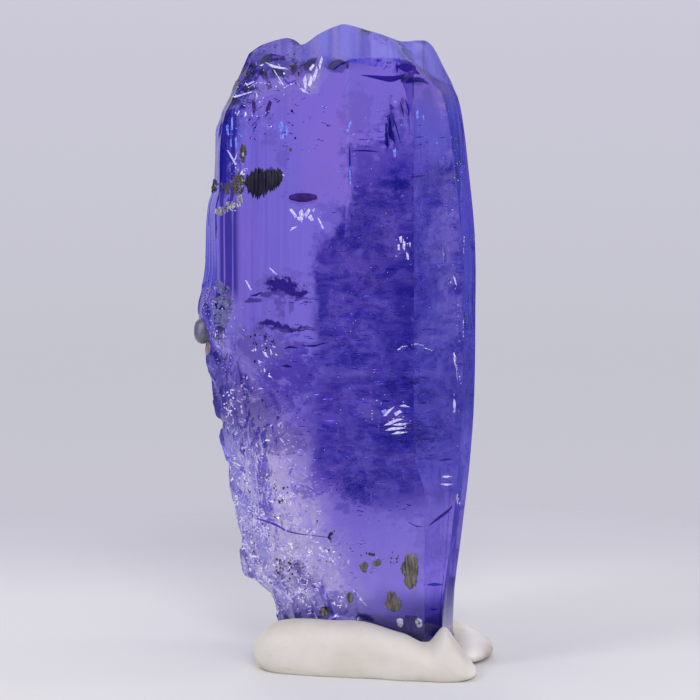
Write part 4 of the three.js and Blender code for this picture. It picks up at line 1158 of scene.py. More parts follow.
class Board:
    """A node tree being built: adds nodes, gives their outputs and links them."""

    def __init__(self, tree):
        self.nodes, self.links = tree.nodes, tree.links
        place = self.add("ShaderNodeTexCoord")
        scale = self.add("ShaderNodeMapping")
        scale.inputs["Location"].default_value = tuple(CENTRE)
        scale.inputs["Scale"].default_value = (1 / MM,) * 3
        self.links.new(place.outputs["Object"], scale.inputs["Vector"])
        self.at = scale.outputs["Vector"]  # place on the object in mm, in the working frame
        axes = self.add("ShaderNodeSeparateXYZ")
        self.links.new(self.at, axes.inputs[0])
        self.x, self.y, self.z = axes.outputs

    def add(self, kind, **settings):
        node = self.nodes.new(kind)
        for key, value in settings.items():
            setattr(node, key, value)
        return node

    def put(self, socket, value):
        if isinstance(value, bpy.types.NodeSocket):
            self.links.new(value, socket)
        elif value is not None:
            socket.default_value = value

    def math(self, operation, *values):
        node = self.add("ShaderNodeMath", operation=operation)
        for socket, value in zip(node.inputs, values):
            self.put(socket, value)
        return node.outputs[0]

    def times(self, first, *others):
        for other in others:
            first = self.math("MULTIPLY", first, other)
        return first

    def plus(self, first, *others):
        for other in others:
            first = self.math("ADD", first, other)
        return first

    def ramp(self, value, low, high, out_low=0.0, out_high=1.0):
        """Smooth step of a value from low to high."""
        node = self.add("ShaderNodeMapRange", interpolation_type="SMOOTHSTEP")
        names = ("Value", "From Min", "From Max", "To Min", "To Max")
        for key, v in zip(names, (value, low, high, out_low, out_high)):
            self.put(node.inputs[key], v)
        return node.outputs["Result"]

    def stretched(self, stretch, shift):
        place = self.add("ShaderNodeMapping")
        place.inputs["Location"].default_value = shift
        self.put(place.inputs["Scale"], stretch)
        self.links.new(self.at, place.inputs["Vector"])
        return place.outputs["Vector"]

    def shards(self, scale, stretch=(1, 1, 1), shift=(0, 0, 0), sway=0.5):
        """Random value from 0 to 1 for each cell of a broken pattern whose borders sway."""
        bent = self.add("ShaderNodeTexNoise")
        self.links.new(self.at, bent.inputs["Vector"])
        bent.inputs["Scale"].default_value = 1.3
        push = self.add("ShaderNodeVectorMath", operation="SCALE")
        self.links.new(bent.outputs["Color"], push.inputs[0])
        push.inputs["Scale"].default_value = sway
        moved = self.add("ShaderNodeVectorMath", operation="ADD")
        self.links.new(self.stretched(stretch, shift), moved.inputs[0])
        self.links.new(push.outputs[0], moved.inputs[1])
        cell = self.add("ShaderNodeTexVoronoi")
        self.links.new(moved.outputs[0], cell.inputs["Vector"])
        cell.inputs["Scale"].default_value = scale
        split = self.add("ShaderNodeSeparateColor")
        self.links.new(cell.outputs["Color"], split.inputs[0])
        return split.outputs[0]

    def noise(self, scale, stretch=(1, 1, 1), detail=3.0, roughness=0.5, shift=(0, 0, 0), twist=0.0):
        """Cloudy noise, 0 to 1, in mm stretched by the given factors."""
        node = self.add("ShaderNodeTexNoise")
        self.links.new(self.stretched(stretch, shift), node.inputs["Vector"])
        self.put(node.inputs["Scale"], scale)
        node.inputs["Detail"].default_value = detail
        node.inputs["Roughness"].default_value = roughness
        node.inputs["Distortion"].default_value = twist
        return node.outputs["Fac"]

    def wave(self, *given, **more):
        """Cloudy noise about zero."""
        return self.math("SUBTRACT", self.noise(*given, **more), 0.5)

    def mix(self, factor, a, b):
        node = self.add("ShaderNodeMix", data_type="RGBA")
        for key, value in zip((0, 6, 7), (factor, a, b)):
            self.put(node.inputs[key], value)
        return node.outputs[2]

    def placed(self, group, **values):
        """Outputs of a node group placed here with its own values."""
        node = self.add("ShaderNodeGroup", node_tree=group)
        for key, value in values.items():
            self.put(node.inputs[key.replace("_", " ")], value)
        return node.outputs


class Finish(Board):
    """A material being built."""

    def __init__(self, name):
        self.material = bpy.data.materials.new(name)
        self.material.use_nodes = True
        super().__init__(self.material.node_tree)
        self.surface = self.nodes["Principled BSDF"]
        self.output = self.nodes["Material Output"]

    def bump(self, height, distance, strength=1.0):
        node = self.add("ShaderNodeBump")
        node.inputs["Strength"].default_value = strength
        node.inputs["Distance"].default_value = distance * MM
        self.links.new(height, node.inputs["Height"])
        self.links.new(node.outputs["Normal"], self.surface.inputs["Normal"])

    def set(self, **values):
        for key, value in values.items():
            self.put(self.surface.inputs[key.replace("_", " ").title().replace("Ior", "IOR")], value)


def new_group(name, inputs, outputs):
    """Empty node group with its named sockets, a board to build on, what comes in and what goes out."""
    group = bpy.data.node_groups.new(name, "ShaderNodeTree")
    for way, sockets in (("INPUT", inputs), ("OUTPUT", outputs)):
        for key, kind in sockets.items():
            group.interface.new_socket(key, in_out=way, socket_type="NodeSocket" + kind)
    board = Board(group)
    return group, board, board.add("NodeGroupInput").outputs, board.add("NodeGroupOutput").inputs


def mineral_clouds():
    """Stretched clouds of two colours, with a roughness and a relief that follow them."""
    inputs = {
        "scale": "Float", "stretch": "Vector", "first colour": "Color", "second colour": "Color",
        "least roughness": "Float", "most roughness": "Float",
    }
    outputs = {"colour": "Color", "roughness": "Float", "relief": "Float"}
    group, b, given, result = new_group("mineral_clouds", inputs, outputs)
    clouds = b.noise(given["scale"], given["stretch"], 5.0, 0.65)
    share = b.ramp(clouds, 0.35, 0.65)
    b.put(result["colour"], b.mix(share, given["first colour"], given["second colour"]))
    b.put(result["roughness"], b.ramp(clouds, 0.3, 0.7, given["least roughness"], given["most roughness"]))
    b.put(result["relief"], clouds)
    return group


def upright_bands():
    """Bands across the crown that run back and up, from 0 to 1."""
    group, b, given, result = new_group("upright_bands", {"scale": "Float"}, {"bands": "Float"})
    b.put(result["bands"], b.noise(given["scale"], (1, 0.02, 0.02), 3.0, 0.6, (5, 5, 5)))
    return group


MINERAL_CLOUDS, UPRIGHT_BANDS = mineral_clouds(), upright_bands()

BACK_SHIFT = (0.53, 0.38)  # how far right and down a sight line moves between the front and rear skins

# Tints of the skin. Light that goes through the crystal takes each skin's tint by its square root.
CLEAR, CLEAR_PINK = (0.43, 0.355, 1.0, 1.0), (0.52, 0.355, 0.96, 1.0)
DEEP, DEEP_PURPLE = (0.02, 0.017, 0.42, 1.0), (0.06, 0.026, 0.38, 1.0)
INDIGO = (0.012, 0.008, 0.27, 1.0)
NAVY = (0.002, 0.001, 0.2, 1.0)
MID, WISP = (0.12, 0.085, 0.6, 1.0), (0.2, 0.12, 0.62, 1.0)
PLUM, PLUM_DARK = (0.13, 0.06, 0.33, 1.0), (0.008, 0.0014, 0.1, 1.0)
CRUST_GREY = (0.5, 0.5, 0.85, 1.0)
SKY = (0.16, 0.2, 0.8, 1.0)
PANEL_BLUE, PANEL_PALE = (0.05, 0.055, 0.5, 1.0), (0.15, 0.16, 0.65, 1.0)
PANEL_MIST = (0.5, 0.5, 0.95, 1.0)
DUSK = (0.2, 0.15, 0.45, 1.0)
FROSTED, FROSTED_BLUE = (1.0, 0.96, 1.0, 1.0), (0.78, 0.72, 1.0, 1.0)
# The first of these is painted shade along the crystal's foot, where the putty roll keeps light off it.
FOOT_SHADE, FOOT_RIGHT = (0.07, 0.05, 0.38, 1.0), (0.02, 0.014, 0.25, 1.0)
CROWN_DIM, CROWN_LIGHT = (0.14, 0.14, 0.68, 1.0), (0.42, 0.43, 0.88, 1.0)
CORNER = (0.72, 0.7, 0.95, 1.0)
LOW_CENTRE = (0.41, 0.32, 0.95, 1.0)
MIRRORED_TINT = (0.8, 0.76, 1.0, 1.0)
BODY_COLOUR, BODY_DENSITY = (0.3, 0.1, 0.96, 1.0), 90.0  # density per metre

# Right border of the etched zone: share of the height up to its top, share of its reach from the left.
ETCH_BORDER = [
    (0.0, 0.92), (0.08, 0.84), (0.25, 0.64), (0.44, 0.46),
    (0.54, 0.4), (0.67, 0.15), (0.78, 0.03), (1.0, 0.0),
]
ETCH_TOP, ETCH_REACH, ETCH_LEFT = 16.0, 7.0, -4.6

# Soft colour patches on the front skin, a few of them painted shade or painted highlights: ellipse in the
# view, strength, tint.
PATCHES_WITH_PAINTED_LIGHT = [
    ((290, 372, 34, 36), 0.95, MID),
    ((285, 378, 30, 34), 0.8, DEEP_PURPLE),
    ((255, 345, 34, 24), 0.9, DUSK),
    ((318, 424, 24, 34), 0.7, MID),
    ((322, 462, 14, 16), 0.6, MID),
    ((320, 590, 50, 26), 0.35, CLEAR),
    ((385, 160, 32, 34), 0.8, MID),
    ((376, 152, 20, 14), 0.5, DEEP_PURPLE),
    ((396, 187, 16, 13), 0.95, INDIGO),
    ((398, 186, 10, 7), 0.9, NAVY),
    ((372, 208, 30, 16), 0.7, INDIGO),
    ((362, 235, 24, 10), 0.6, INDIGO),
    ((394, 282, 26, 14), 0.7, INDIGO),
    ((405, 332, 18, 20), 0.6, INDIGO),
    ((395, 380, 26, 10), 0.75, INDIGO),
    ((398, 398, 30, 8), 0.8, INDIGO),
    ((432, 398, 22, 9), 0.6, INDIGO),
    ((410, 440, 36, 12), 0.8, INDIGO),
    ((352, 488, 24, 14), 0.85, INDIGO),
    ((350, 486, 12, 7), 0.7, NAVY),
    ((341, 508, 9, 6), 0.6, INDIGO),
    ((366, 478, 9, 6), 0.6, INDIGO),
    ((385, 500, 20, 12), 0.4, INDIGO),
    ((284, 286, 26, 16), 0.4, PLUM),
    ((284, 283, 13, 8), 1.0, PLUM_DARK),
    ((290, 289, 10, 6), 1.0, PLUM_DARK),
    ((300, 295, 12, 3.5), 1.0, PLUM_DARK),
    ((276, 292, 14, 3), 0.8, PLUM_DARK),
    ((283, 304, 5, 14), 0.8, PLUM),
    ((290, 306, 3, 10), 0.8, PLUM),
    ((272, 324, 14, 4), 1.0, PLUM_DARK),
    ((282, 329, 22, 2.6), 0.9, PLUM_DARK),
    ((306, 300, 10, 2.2), 0.8, PLUM_DARK),
    ((303, 331, 14, 2), 0.8, PLUM_DARK),
    ((258, 297, 10, 2.2), 0.9, PLUM_DARK),
    ((303, 345, 30, 2.5), 0.6, PLUM),
    ((305, 198, 17, 5), 0.5, PLUM),
    ((272, 141, 10, 8), 0.4, PLUM),
    ((283, 156, 6, 14), 0.4, PLUM),
    ((391, 124, 4, 22), 0.95, PLUM_DARK),
    ((388, 138, 6, 9), 0.95, NAVY),
    ((402, 110, 2.5, 12), 0.8, PLUM_DARK),
    ((408, 112, 2.5, 12), 0.8, PLUM_DARK),
    ((432, 108, 9, 24), 0.5, (0.1, 0.1, 0.3, 1.0)),
    ((212, 265, 12, 22), 0.5, CRUST_GREY),
    ((220, 318, 20, 34), 0.85, CRUST_GREY),
    ((358, 118, 18, 28), 0.4, PLUM),
    ((392, 128, 12, 24), 0.55, INDIGO),
    ((404, 108, 8, 14), 0.4, PLUM),
    ((435, 130, 26, 34), 0.55, SKY),
    ((388, 352, 26, 12), 0.45, MID),
    ((430, 355, 18, 30), 0.45, SKY),
    ((442, 250, 18, 44), 0.55, PANEL_MIST),
    ((450, 190, 14, 30), 0.4, PANEL_MIST),
    ((446, 320, 14, 30), 0.5, PANEL_MIST),
    ((400, 505, 22, 22), 0.5, MID),
    ((434, 545, 20, 30), 0.5, MID),
    ((236, 125, 9, 18), 0.6, SKY),
    ((226, 140, 10, 40), 0.8, DEEP),
    ((225, 170, 9, 26), 0.9, NAVY),
    ((246, 80, 16, 12), 1.0, NAVY),
    ((236, 92, 12, 8), 0.9, NAVY),
    ((266, 72, 16, 8), 0.9, INDIGO),
    ((280, 75, 12, 8), 0.9, NAVY),
    ((252, 70, 8, 10), 0.7, PLUM_DARK),
    # Painted highlight: pale flash beside the bright chips at the chipped corner.
    ((312, 78, 8, 12), 0.8, (0.9, 0.85, 1.0, 1.0)),
    ((335, 212, 16, 14), 0.5, MID),
    ((322, 262, 12, 34), 0.7, WISP),
    ((297, 72, 12, 7), 0.8, PLUM),
    ((428, 60, 18, 20), 0.9, CORNER),
    ((446, 88, 10, 26), 0.7, CORNER),
    ((273, 56, 14, 5), 0.8, INDIGO),
    ((310, 66, 11, 8), 0.8, INDIGO),
    # Painted shade: the dark crescent under the rim's step, where inner reflections look dark.
    ((336, 65, 12, 6), 0.8, INDIGO),
    ((414, 81, 14, 4), 0.7, INDIGO),
    ((430, 628, 22, 22), 0.7, FOOT_RIGHT),
    ((262, 432, 28, 14), 0.65, DUSK),
    ((240, 405, 20, 24), 0.45, DUSK),
    ((302, 577, 22, 13), 0.65, DUSK),
    ((264, 472, 26, 14), 0.95, FROSTED),
    ((234, 478, 12, 24), 0.95, FROSTED),
    # Painted highlight: pale spot under the glints low in the etched zone.
    ((290, 500, 14, 9), 0.6, FROSTED),
    ((340, 400, 26, 24), 0.5, WISP),
    ((320, 482, 22, 16), 0.9, WISP),
    ((238, 84, 13, 24), 1.0, NAVY),
    ((230, 108, 9, 18), 0.6, DEEP),
    ((282, 440, 24, 14), 0.9, DUSK),
    ((300, 581, 12, 8), 0.5, DUSK),
    ((268, 60, 30, 8), 0.8, INDIGO),
]


def front_place(px, py):
    """x and z of the front face, or right panel, where a sight point lies on it."""
    place, _, _ = behind(px, py, 0.0)
    return float(place[0]), float(place[2])


class Glass(Finish):
    """
    Clear violet-blue glass. One absorbing body gives long paths their depth, and a tint on the skin zones
    it by place: clear violet above left, deep and streaked right of the growth borders, pale where etched.
    The tint also holds painted shade at the foot, beside the left edge and under the rim's step, and two
    painted highlights.
    """

    def __init__(self):
        super().__init__("tanzanite")
        behind_face = self.plus(self.y, self.times(self.x, FACE_TURN), 2.08)
        on_crown = self.times(self.ramp(behind_face, 1.9, 1.65), self.ramp(self.z, 18.2, 18.6))
        self.on_front = self.math("MAXIMUM", self.ramp(self.y, 0.6, -0.2), on_crown)
        at_back = self.math("SUBTRACT", 1.0, self.on_front)
        self.zone_x = self.plus(self.x, self.times(at_back, -BACK_SHIFT[0]))
        self.zone_z = self.plus(self.z, self.times(at_back, BACK_SHIFT[1]))
        self.cloud = self.wave(0.75, (1, 1, 0.6), 3.0)
        self.waver = self.wave(2.5, (1, 1, 0.7), 4.0, 0.6, (8, 3, 3))
        self.drift = self.wave(0.55, detail=2.0, shift=(9, 2, 4))
        self.streaks = self.noise(1.3, (0.6, 0.6, 2.4), 4.0, 0.6, twist=0.6)
        self.mottle = self.noise(1.2, (1, 1, 1), 4.0, 0.6, (4, 8, 1), 1.0)
        self.shard = self.shards(1.5, (0.8, 0.8, 1.5), (1, 2, 3), 0.9)
        self.cloudy_x = self.plus(self.zone_x, self.times(self.cloud, 1.8))
        self.drifted_z = self.plus(self.zone_z, self.times(self.drift, 2.2))
        self.foot_right = self.times(self.ramp(self.zone_x, 0.9, 2.6), self.ramp(self.zone_z, 3.0, 2.0))

    def deep_zone(self):
        """Where the deep colour lies: right of an upright border above, of one further left below."""
        start = self.ramp(self.zone_x, 1.0, 2.4, 17.3, 18.8)
        soft_x = self.plus(self.zone_x, self.times(self.waver, 1.1))
        shift = self.ramp(self.plus(self.zone_z, self.times(self.waver, 3.0)), 15.6, 13.5, 0.0, 1.2)
        between = self.times(self.ramp(self.zone_z, 16.4, 15.2), self.ramp(self.zone_z, 12.4, 13.4))
        lobes = self.times(self.plus(self.mottle, -0.5), between, 2.4)
        past_border = self.ramp(self.plus(soft_x, shift, lobes), 0.05, 0.55)
        below_start = self.ramp(self.plus(self.drifted_z, self.times(start, -1.0)), 0.3, -1.5, 0.12, 1.0)
        upper = self.times(past_border, below_start, self.ramp(self.zone_z, 9.4, 10.2))
        upper = self.times(upper, self.math("MAXIMUM", self.on_front, self.ramp(self.z, 17.4, 16.4)))
        lower_x = self.plus(self.cloudy_x, self.ramp(self.zone_z, 7.2, 5.6, 0.0, -0.9))
        lower = self.times(self.ramp(lower_x, -1.9, -0.5), self.ramp(self.zone_z, 10.4, 9.5))
        lower = self.times(lower, self.ramp(self.drifted_z, 4.8, 6.2))
        broken = self.ramp(self.streaks, 0.34, 0.56, 0.7, 1.0)
        mottled = self.ramp(self.mottle, 0.36, 0.56, 0.6, 1.0)
        return self.times(self.math("MAXIMUM", upper, lower), broken, mottled)

    def deep_tint(self):
        """Deep blue and purple in clouds, with dashes, shards and swirls of darker and lighter blue."""
        dashes = self.noise(2.6, (0.45, 0.45, 2.2), 4.0, 0.65, (3, 7, 2))
        swirl = self.math("ABSOLUTE", self.wave(0.8, (0.8, 0.8, 1.3), 3.0, 0.5, (3, 3, 9), 2.2))
        eddy = self.math("ABSOLUTE", self.wave(1.5, (0.7, 0.7, 1.5), 3.0, 0.5, (9, 2, 1), 1.6))
        clouds = self.noise(0.9, (1, 1, 1.6), 4.0, 0.6, (1, 3, 9))
        tint = self.mix(self.ramp(clouds, 0.38, 0.62), DEEP, DEEP_PURPLE)
        for pattern, low, high, strength, colour in (
            (dashes, 0.56, 0.7, 0.75, INDIGO),
            (dashes, 0.42, 0.3, 0.5, MID),
            (self.shard, 0.6, 0.9, 0.5, INDIGO),
            (self.shard, 0.35, 0.1, 0.35, MID),
            (swirl, 0.05, 0.0, 0.55, WISP),
            (eddy, 0.035, 0.0, 0.6, INDIGO),
        ):
            tint = self.mix(self.ramp(pattern, low, high, 0.0, strength), tint, colour)
        return tint

    def panel_tinted(self, tint):
        """The paler blue of the right panel, and a dark strip in front of the upright edge."""
        on_panel = self.times(self.ramp(self.x, 2.3, 2.36), self.on_front)
        on_panel = self.times(on_panel, self.ramp(self.z, 18.9, 17.9), self.ramp(self.z, 5.6, 7.0))
        by_edge = self.times(self.ramp(self.x, 0.4, 2.3), self.ramp(self.x, 2.34, 2.32))
        by_edge = self.times(by_edge, self.ramp(self.drifted_z, 16.0, 13.5))
        by_edge = self.times(by_edge, self.ramp(self.drifted_z, 5.2, 6.6), self.on_front)
        panel = self.mix(self.ramp(self.mottle, 0.42, 0.62), PANEL_BLUE, PANEL_PALE)
        panel = self.mix(self.ramp(self.shard, 0.55, 0.9, 0.0, 0.6), panel, PANEL_PALE)
        tint = self.mix(self.times(on_panel, 0.85), tint, panel)
        by_edge = self.times(by_edge, self.ramp(self.mottle, 0.4, 0.56, 0.35, 0.9))
        return self.mix(by_edge, tint, INDIGO)

    def past_etch_edge(self):
        """How far to the right of the etched zone's border a place is, in mm."""
        line = self.add("ShaderNodeFloatCurve")
        self.links.new(self.math("DIVIDE", self.z, ETCH_TOP), line.inputs["Value"])
        curve = line.mapping.curves[0]
        curve.points[0].location = ETCH_BORDER[0]
        curve.points[1].location = ETCH_BORDER[-1]
        for place, value in ETCH_BORDER[1:-1]:
            curve.points.new(place, value)
        line.mapping.update()
        edge = self.plus(self.times(line.outputs["Value"], ETCH_REACH), ETCH_LEFT)
        return self.plus(self.x, self.times(edge, -1.0))

    def etched_tint(self):
        """Chips of two whites low down, dusky above."""
        pale = self.ramp(self.plus(self.z, self.times(self.cloud, 2.0)), 8.4, 6.6)
        chips = self.shards(4.0, (1, 1, 1), (5, 2, 8), 0.5)
        return self.mix(pale, DUSK, self.mix(self.ramp(chips, 0.3, 0.9), FROSTED, FROSTED_BLUE))

    def clear_tint(self):
        """Two clear violets in upright clouds, with faint lines near the left."""
        clouds = self.noise(0.5, (1, 1, 0.5), 2.0, shift=(2, 5, 7))
        tint = self.mix(self.ramp(clouds, 0.4, 0.7), CLEAR, CLEAR_PINK)
        striae = self.noise(5.0, (1, 1, 0.01), 3.0, 0.7, (6, 1, 2))
        lined = self.times(self.ramp(striae, 0.4, 0.7), self.ramp(self.x, -0.9, -2.4), 0.35)
        return self.mix(lined, tint, MID)

    def crown_tinted(self, tint):
        """Upright bands of two pale violets above the rim."""
        bands = self.placed(UPRIGHT_BANDS, scale=2.0)["bands"]
        crown = self.mix(self.ramp(bands, 0.42, 0.6), CROWN_DIM, CROWN_LIGHT)
        return self.mix(self.ramp(self.plus(self.z, self.times(self.x, -0.12)), 19.7, 20.1), tint, crown)

    def patched(self, tint):
        """The patches one after another, each an ellipse with a ragged soft border; some are painted light.
        """
        fine = self.noise(5.0, (1, 1, 1), 2.0, 0.6, (7, 1, 5))
        ragged = self.times(self.plus(self.streaks, self.mottle, -1.0), 3.0)
        ragged = self.plus(ragged, self.times(self.plus(fine, -0.5), 3.5))
        swayed_x = self.plus(self.x, self.times(self.cloud, 0.8))
        swayed_z = self.plus(self.z, self.times(self.drift, 0.8))
        bare = tint
        for (px, py, half_width, half_height), strength, colour in PATCHES_WITH_PAINTED_LIGHT:
            patch_x, patch_z = front_place(px, py)
            per_x, per_z = PIXELS_PER_MM / half_width, PIXELS_PER_MM / half_height
            dx = self.math("MULTIPLY_ADD", swayed_x, per_x, -patch_x * per_x)
            dz = self.math("MULTIPLY_ADD", swayed_z, per_z, -patch_z * per_z)
            off = self.math("MULTIPLY_ADD", dx, dx, self.math("MULTIPLY_ADD", dz, dz, ragged))
            tint = self.mix(self.ramp(off, 1.3, 0.35, 0.0, strength), tint, colour)
        return self.mix(self.on_front, bare, tint)

    def left_shade_stripes(self):
        """Painted shade: dark upright stripes beside the left edge, where the bevel's long paths look dark.
        """
        stripes = self.ramp(self.noise(7.0, (1, 1, 0.006), 1.0, 0.5, (2, 4, 1)), 0.34, 0.46)
        inside = self.times(self.ramp(self.x, -4.12, -4.02), self.ramp(self.x, -3.3, -3.55))
        inside = self.times(inside, self.ramp(self.z, 19.4, 18.6), self.ramp(self.z, 11.9, 12.6))
        return self.times(inside, self.on_front, stripes, 0.95)

    def finished(self):
        past_edge = self.past_etch_edge()
        wavy = self.plus(past_edge, self.times(self.cloud, 1.6), self.times(self.waver, 1.4))
        below_etch = self.ramp(self.z, 12.9, 11.9)
        frosted = self.times(self.ramp(wavy, 0.9, -1.1), below_etch)
        low_centre = self.times(self.ramp(self.z, 6.2, 4.4), self.ramp(self.z, 1.2, 2.6))
        low_centre = self.times(low_centre, self.math("SUBTRACT", 1.0, self.foot_right), 0.8)
        # Painted shade: a dark band along the foot, where the putty roll keeps light off the crystal.
        shaded_foot = self.ramp(self.plus(self.z, self.times(self.cloud, 0.8)), 2.5, 1.7)

        tint = self.mix(self.deep_zone(), self.clear_tint(), self.deep_tint())
        tint = self.panel_tinted(tint)
        tint = self.mix(self.times(self.foot_right, 0.92), tint, FOOT_RIGHT)
        tint = self.crown_tinted(self.mix(low_centre, tint, LOW_CENTRE))
        tint = self.patched(self.mix(frosted, tint, self.etched_tint()))
        tint = self.mix(self.left_shade_stripes(), tint, NAVY)
        tint = self.mix(self.times(shaded_foot, self.ramp(self.x, -2.9, -1.9), 0.85), tint, FOOT_SHADE)
        corner = self.times(self.ramp(self.x, 1.9, 2.9), self.ramp(self.z, 18.2, 19.0))
        gloss = self.plus(self.ramp(frosted, 0.2, 1.0, 0.03, 0.17), self.times(corner, 0.3))
        self.set(base_color=tint, transmission_weight=1.0, ior=REFRACTION, metallic=0.0)
        self.set(specular_tint=MIRRORED_TINT, roughness=gloss)
        grain = self.noise(9.0, (1, 1, 0.6), 2.0, 0.6)
        self.bump(self.times(grain, self.ramp(past_edge, 0.9, -1.1), below_etch), 0.03, 0.6)

        body = self.add("ShaderNodeVolumeAbsorption")
        body.inputs["Color"].default_value = BODY_COLOUR
        body.inputs["Density"].default_value = BODY_DENSITY
        self.links.new(body.outputs["Volume"], self.output.inputs["Volume"])
        return self.material


def veil_finish():
    """Bloom that lets most light through: vertical bands on the crown, soft wisps over the deep zone."""
    f = Finish("crown_veil")
    rim = f.plus(20.15, f.times(f.ramp(f.x, 1.7, 4.2), -1.2))
    crown = f.times(f.ramp(f.plus(f.z, f.times(rim, -1.0)), -0.02, 0.12), f.ramp(f.x, -1.0, -0.6))
    bands = f.placed(UPRIGHT_BANDS, scale=2.2)["bands"]
    right = f.ramp(f.x, 1.2, 2.6)
    on_crown = f.times(crown, f.plus(f.ramp(bands, 0.42, 0.58, 0.02, 0.3), f.times(right, 0.12)))
    wisps = f.noise(1.1, (0.8, 0.8, 1.3), 4.0, 0.65, (3, 3, 9), 1.4)
    streaks = f.noise(1.6, (0.4, 0.4, 2.6), 3.0, 0.6, (8, 1, 4), 0.7)
    past_border = f.plus(f.x, f.times(f.ramp(f.z, 14.2, 13.2), 1.1))
    deep = f.times(f.ramp(past_border, 0.1, 1.0), f.ramp(f.z, 18.6, 15.5), f.ramp(f.z, 4.5, 7.5))
    haze = f.plus(f.ramp(wisps, 0.5, 0.72, 0.0, 0.16), f.ramp(streaks, 0.55, 0.75, 0.0, 0.1))
    base = f.mix(f.ramp(streaks, 0.4, 0.6), (0.12, 0.1, 0.62, 1.0), (0.2, 0.12, 0.55, 1.0))
    base = f.mix(crown, base, (0.3, 0.29, 0.85, 1.0))
    f.set(base_color=base, roughness=0.6, alpha=f.plus(on_crown, f.times(deep, haze)))
    return f.material


def putty_finish():
    """Matt cream-white putty: fine pores, faint soiling, a brown smear at its right tip, painted light on
    the lump.
    """
    f = Finish("putty")
    soil = f.noise(0.9, detail=4.0)
    specks = f.noise(7.0, detail=2.0, shift=(3, 3, 3))
    # Painted light: lighter towards the lump behind, to make up for the shade the crystal and roll cast on
    # it.
    lump = f.ramp(f.x, 3.9, 4.4)
    base = f.mix(f.ramp(soil, 0.35, 0.75), (0.81, 0.76, 0.615, 1.0), (0.74, 0.69, 0.54, 1.0))
    base = f.mix(f.times(lump, 0.8), base, (1.0, 0.96, 0.84, 1.0))
    base = f.mix(f.ramp(specks, 0.68, 0.78, 0.0, 0.3), base, (0.42, 0.36, 0.31, 1.0))
    smear = f.times(f.ramp(f.x, 4.3, 4.9), f.ramp(f.z, 0.8, 0.3), f.ramp(soil, 0.3, 0.6, 0.6, 1.0))
    base = f.mix(f.times(smear, 0.7), base, (0.36, 0.27, 0.19, 1.0))
    f.set(base_color=base, roughness=f.ramp(soil, 0.2, 0.8, 0.55, 0.75))
    f.bump(f.plus(f.noise(5.0, detail=5.0, roughness=0.6), f.times(specks, 0.4)), 0.03, 0.5)
    return f.material


def speckled_finish(name, base, other, roughness, metallic=0.0, scale=5.0, stretch=(1, 1, 0.35)):
    """Two shades of one mineral in stretched clouds, with matching relief and gloss."""
    f = Finish(name)
    clouds = f.placed(
        MINERAL_CLOUDS, scale=scale, stretch=stretch, first_colour=base, second_colour=other,
        least_roughness=roughness, most_roughness=min(1.0, roughness * 1.5),
    )
    f.set(base_color=clouds["colour"], roughness=clouds["roughness"], metallic=metallic)
    f.bump(clouds["relief"], 0.02, 0.7)
    return f.material


# ------------------------------------------------------------------ camera, light and floor


def place_camera():
    data = bpy.data.cameras.new("camera")
    data.lens, data.sensor_width = LENS, SENSOR
    data.clip_start, data.clip_end = 0.005, 5.0
    camera = bpy.data.objects.new("camera", data)
    bpy.context.scene.collection.objects.link(camera)
    camera.location = (EYE - CENTRE) * MM
    camera.rotation_euler = (math.pi / 2 - ELEVATION, 0, 0)
    bpy.context.scene.camera = camera


def softbox(name, place, size, brightness):
    """Round soft lamp aimed at the crystal; brightness is what its face shows, as a share of white."""
    data = bpy.data.lights.new(name, "AREA")
    data.shape, data.size = "DISK", size * MM
    data.energy = brightness * math.pi * math.pi * (size * MM / 2) ** 2
    lamp = bpy.data.objects.new(name, data)
    bpy.context.scene.collection.objects.link(lamp)
    lamp.location = Vector(place) * MM
    lamp.rotation_euler = Vector((-place[0], -place[1], 10 - place[2])).to_track_quat("-Z", "Y").to_euler()


# Dark blue cloths round the set: which way they hang, where they begin and are full as cosines off that
# way, what share of the pale surround is left there, and whether only mirrored light knows of them.
CLOTHS = [
    ((-0.32, -0.9, 0.3), 0.66, 0.86, 0.06, False),
    ((0.927, 0.375, 0.0), 0.71, 0.8, 0.3, False),
    ((-1.0, 0.1, 0.0), 0.72, 0.9, 0.05, True),
    ((0.5, 0.8, -0.33), 0.86, 0.93, 0.05, True),
    ((-0.36, 0.72, 0.6), 0.93, 0.965, 0.05, True),
]
CLOTH = (0.1, 0.11, 0.52, 1.0)
# Shades of the surround by share of the way up.
SURROUND_SHADES = [
    (0.0, (0.571, 0.558, 0.638)),
    (0.05, (0.553, 0.553, 0.625)),
    (0.125, (0.604, 0.584, 0.686)),
    (0.25, (0.62, 0.6, 0.7)),
    (0.5, (0.85, 0.83, 0.9)),
    (1.0, (0.6, 0.59, 0.66)),
]
FLOOR_NEAR, FLOOR_FAR = (0.79, 0.785, 0.735, 1.0), (0.66, 0.655, 0.65, 1.0)
FLOOR_MIRRORED = (0.07, 0.06, 0.26, 1.0)
FLOOR_FADE = (31.0, 22.0)  # mm from the middle


def world_node(nodes, kind, **settings):
    node = nodes.new(kind)
    for key, value in settings.items():
        setattr(node, key, value)
    return node


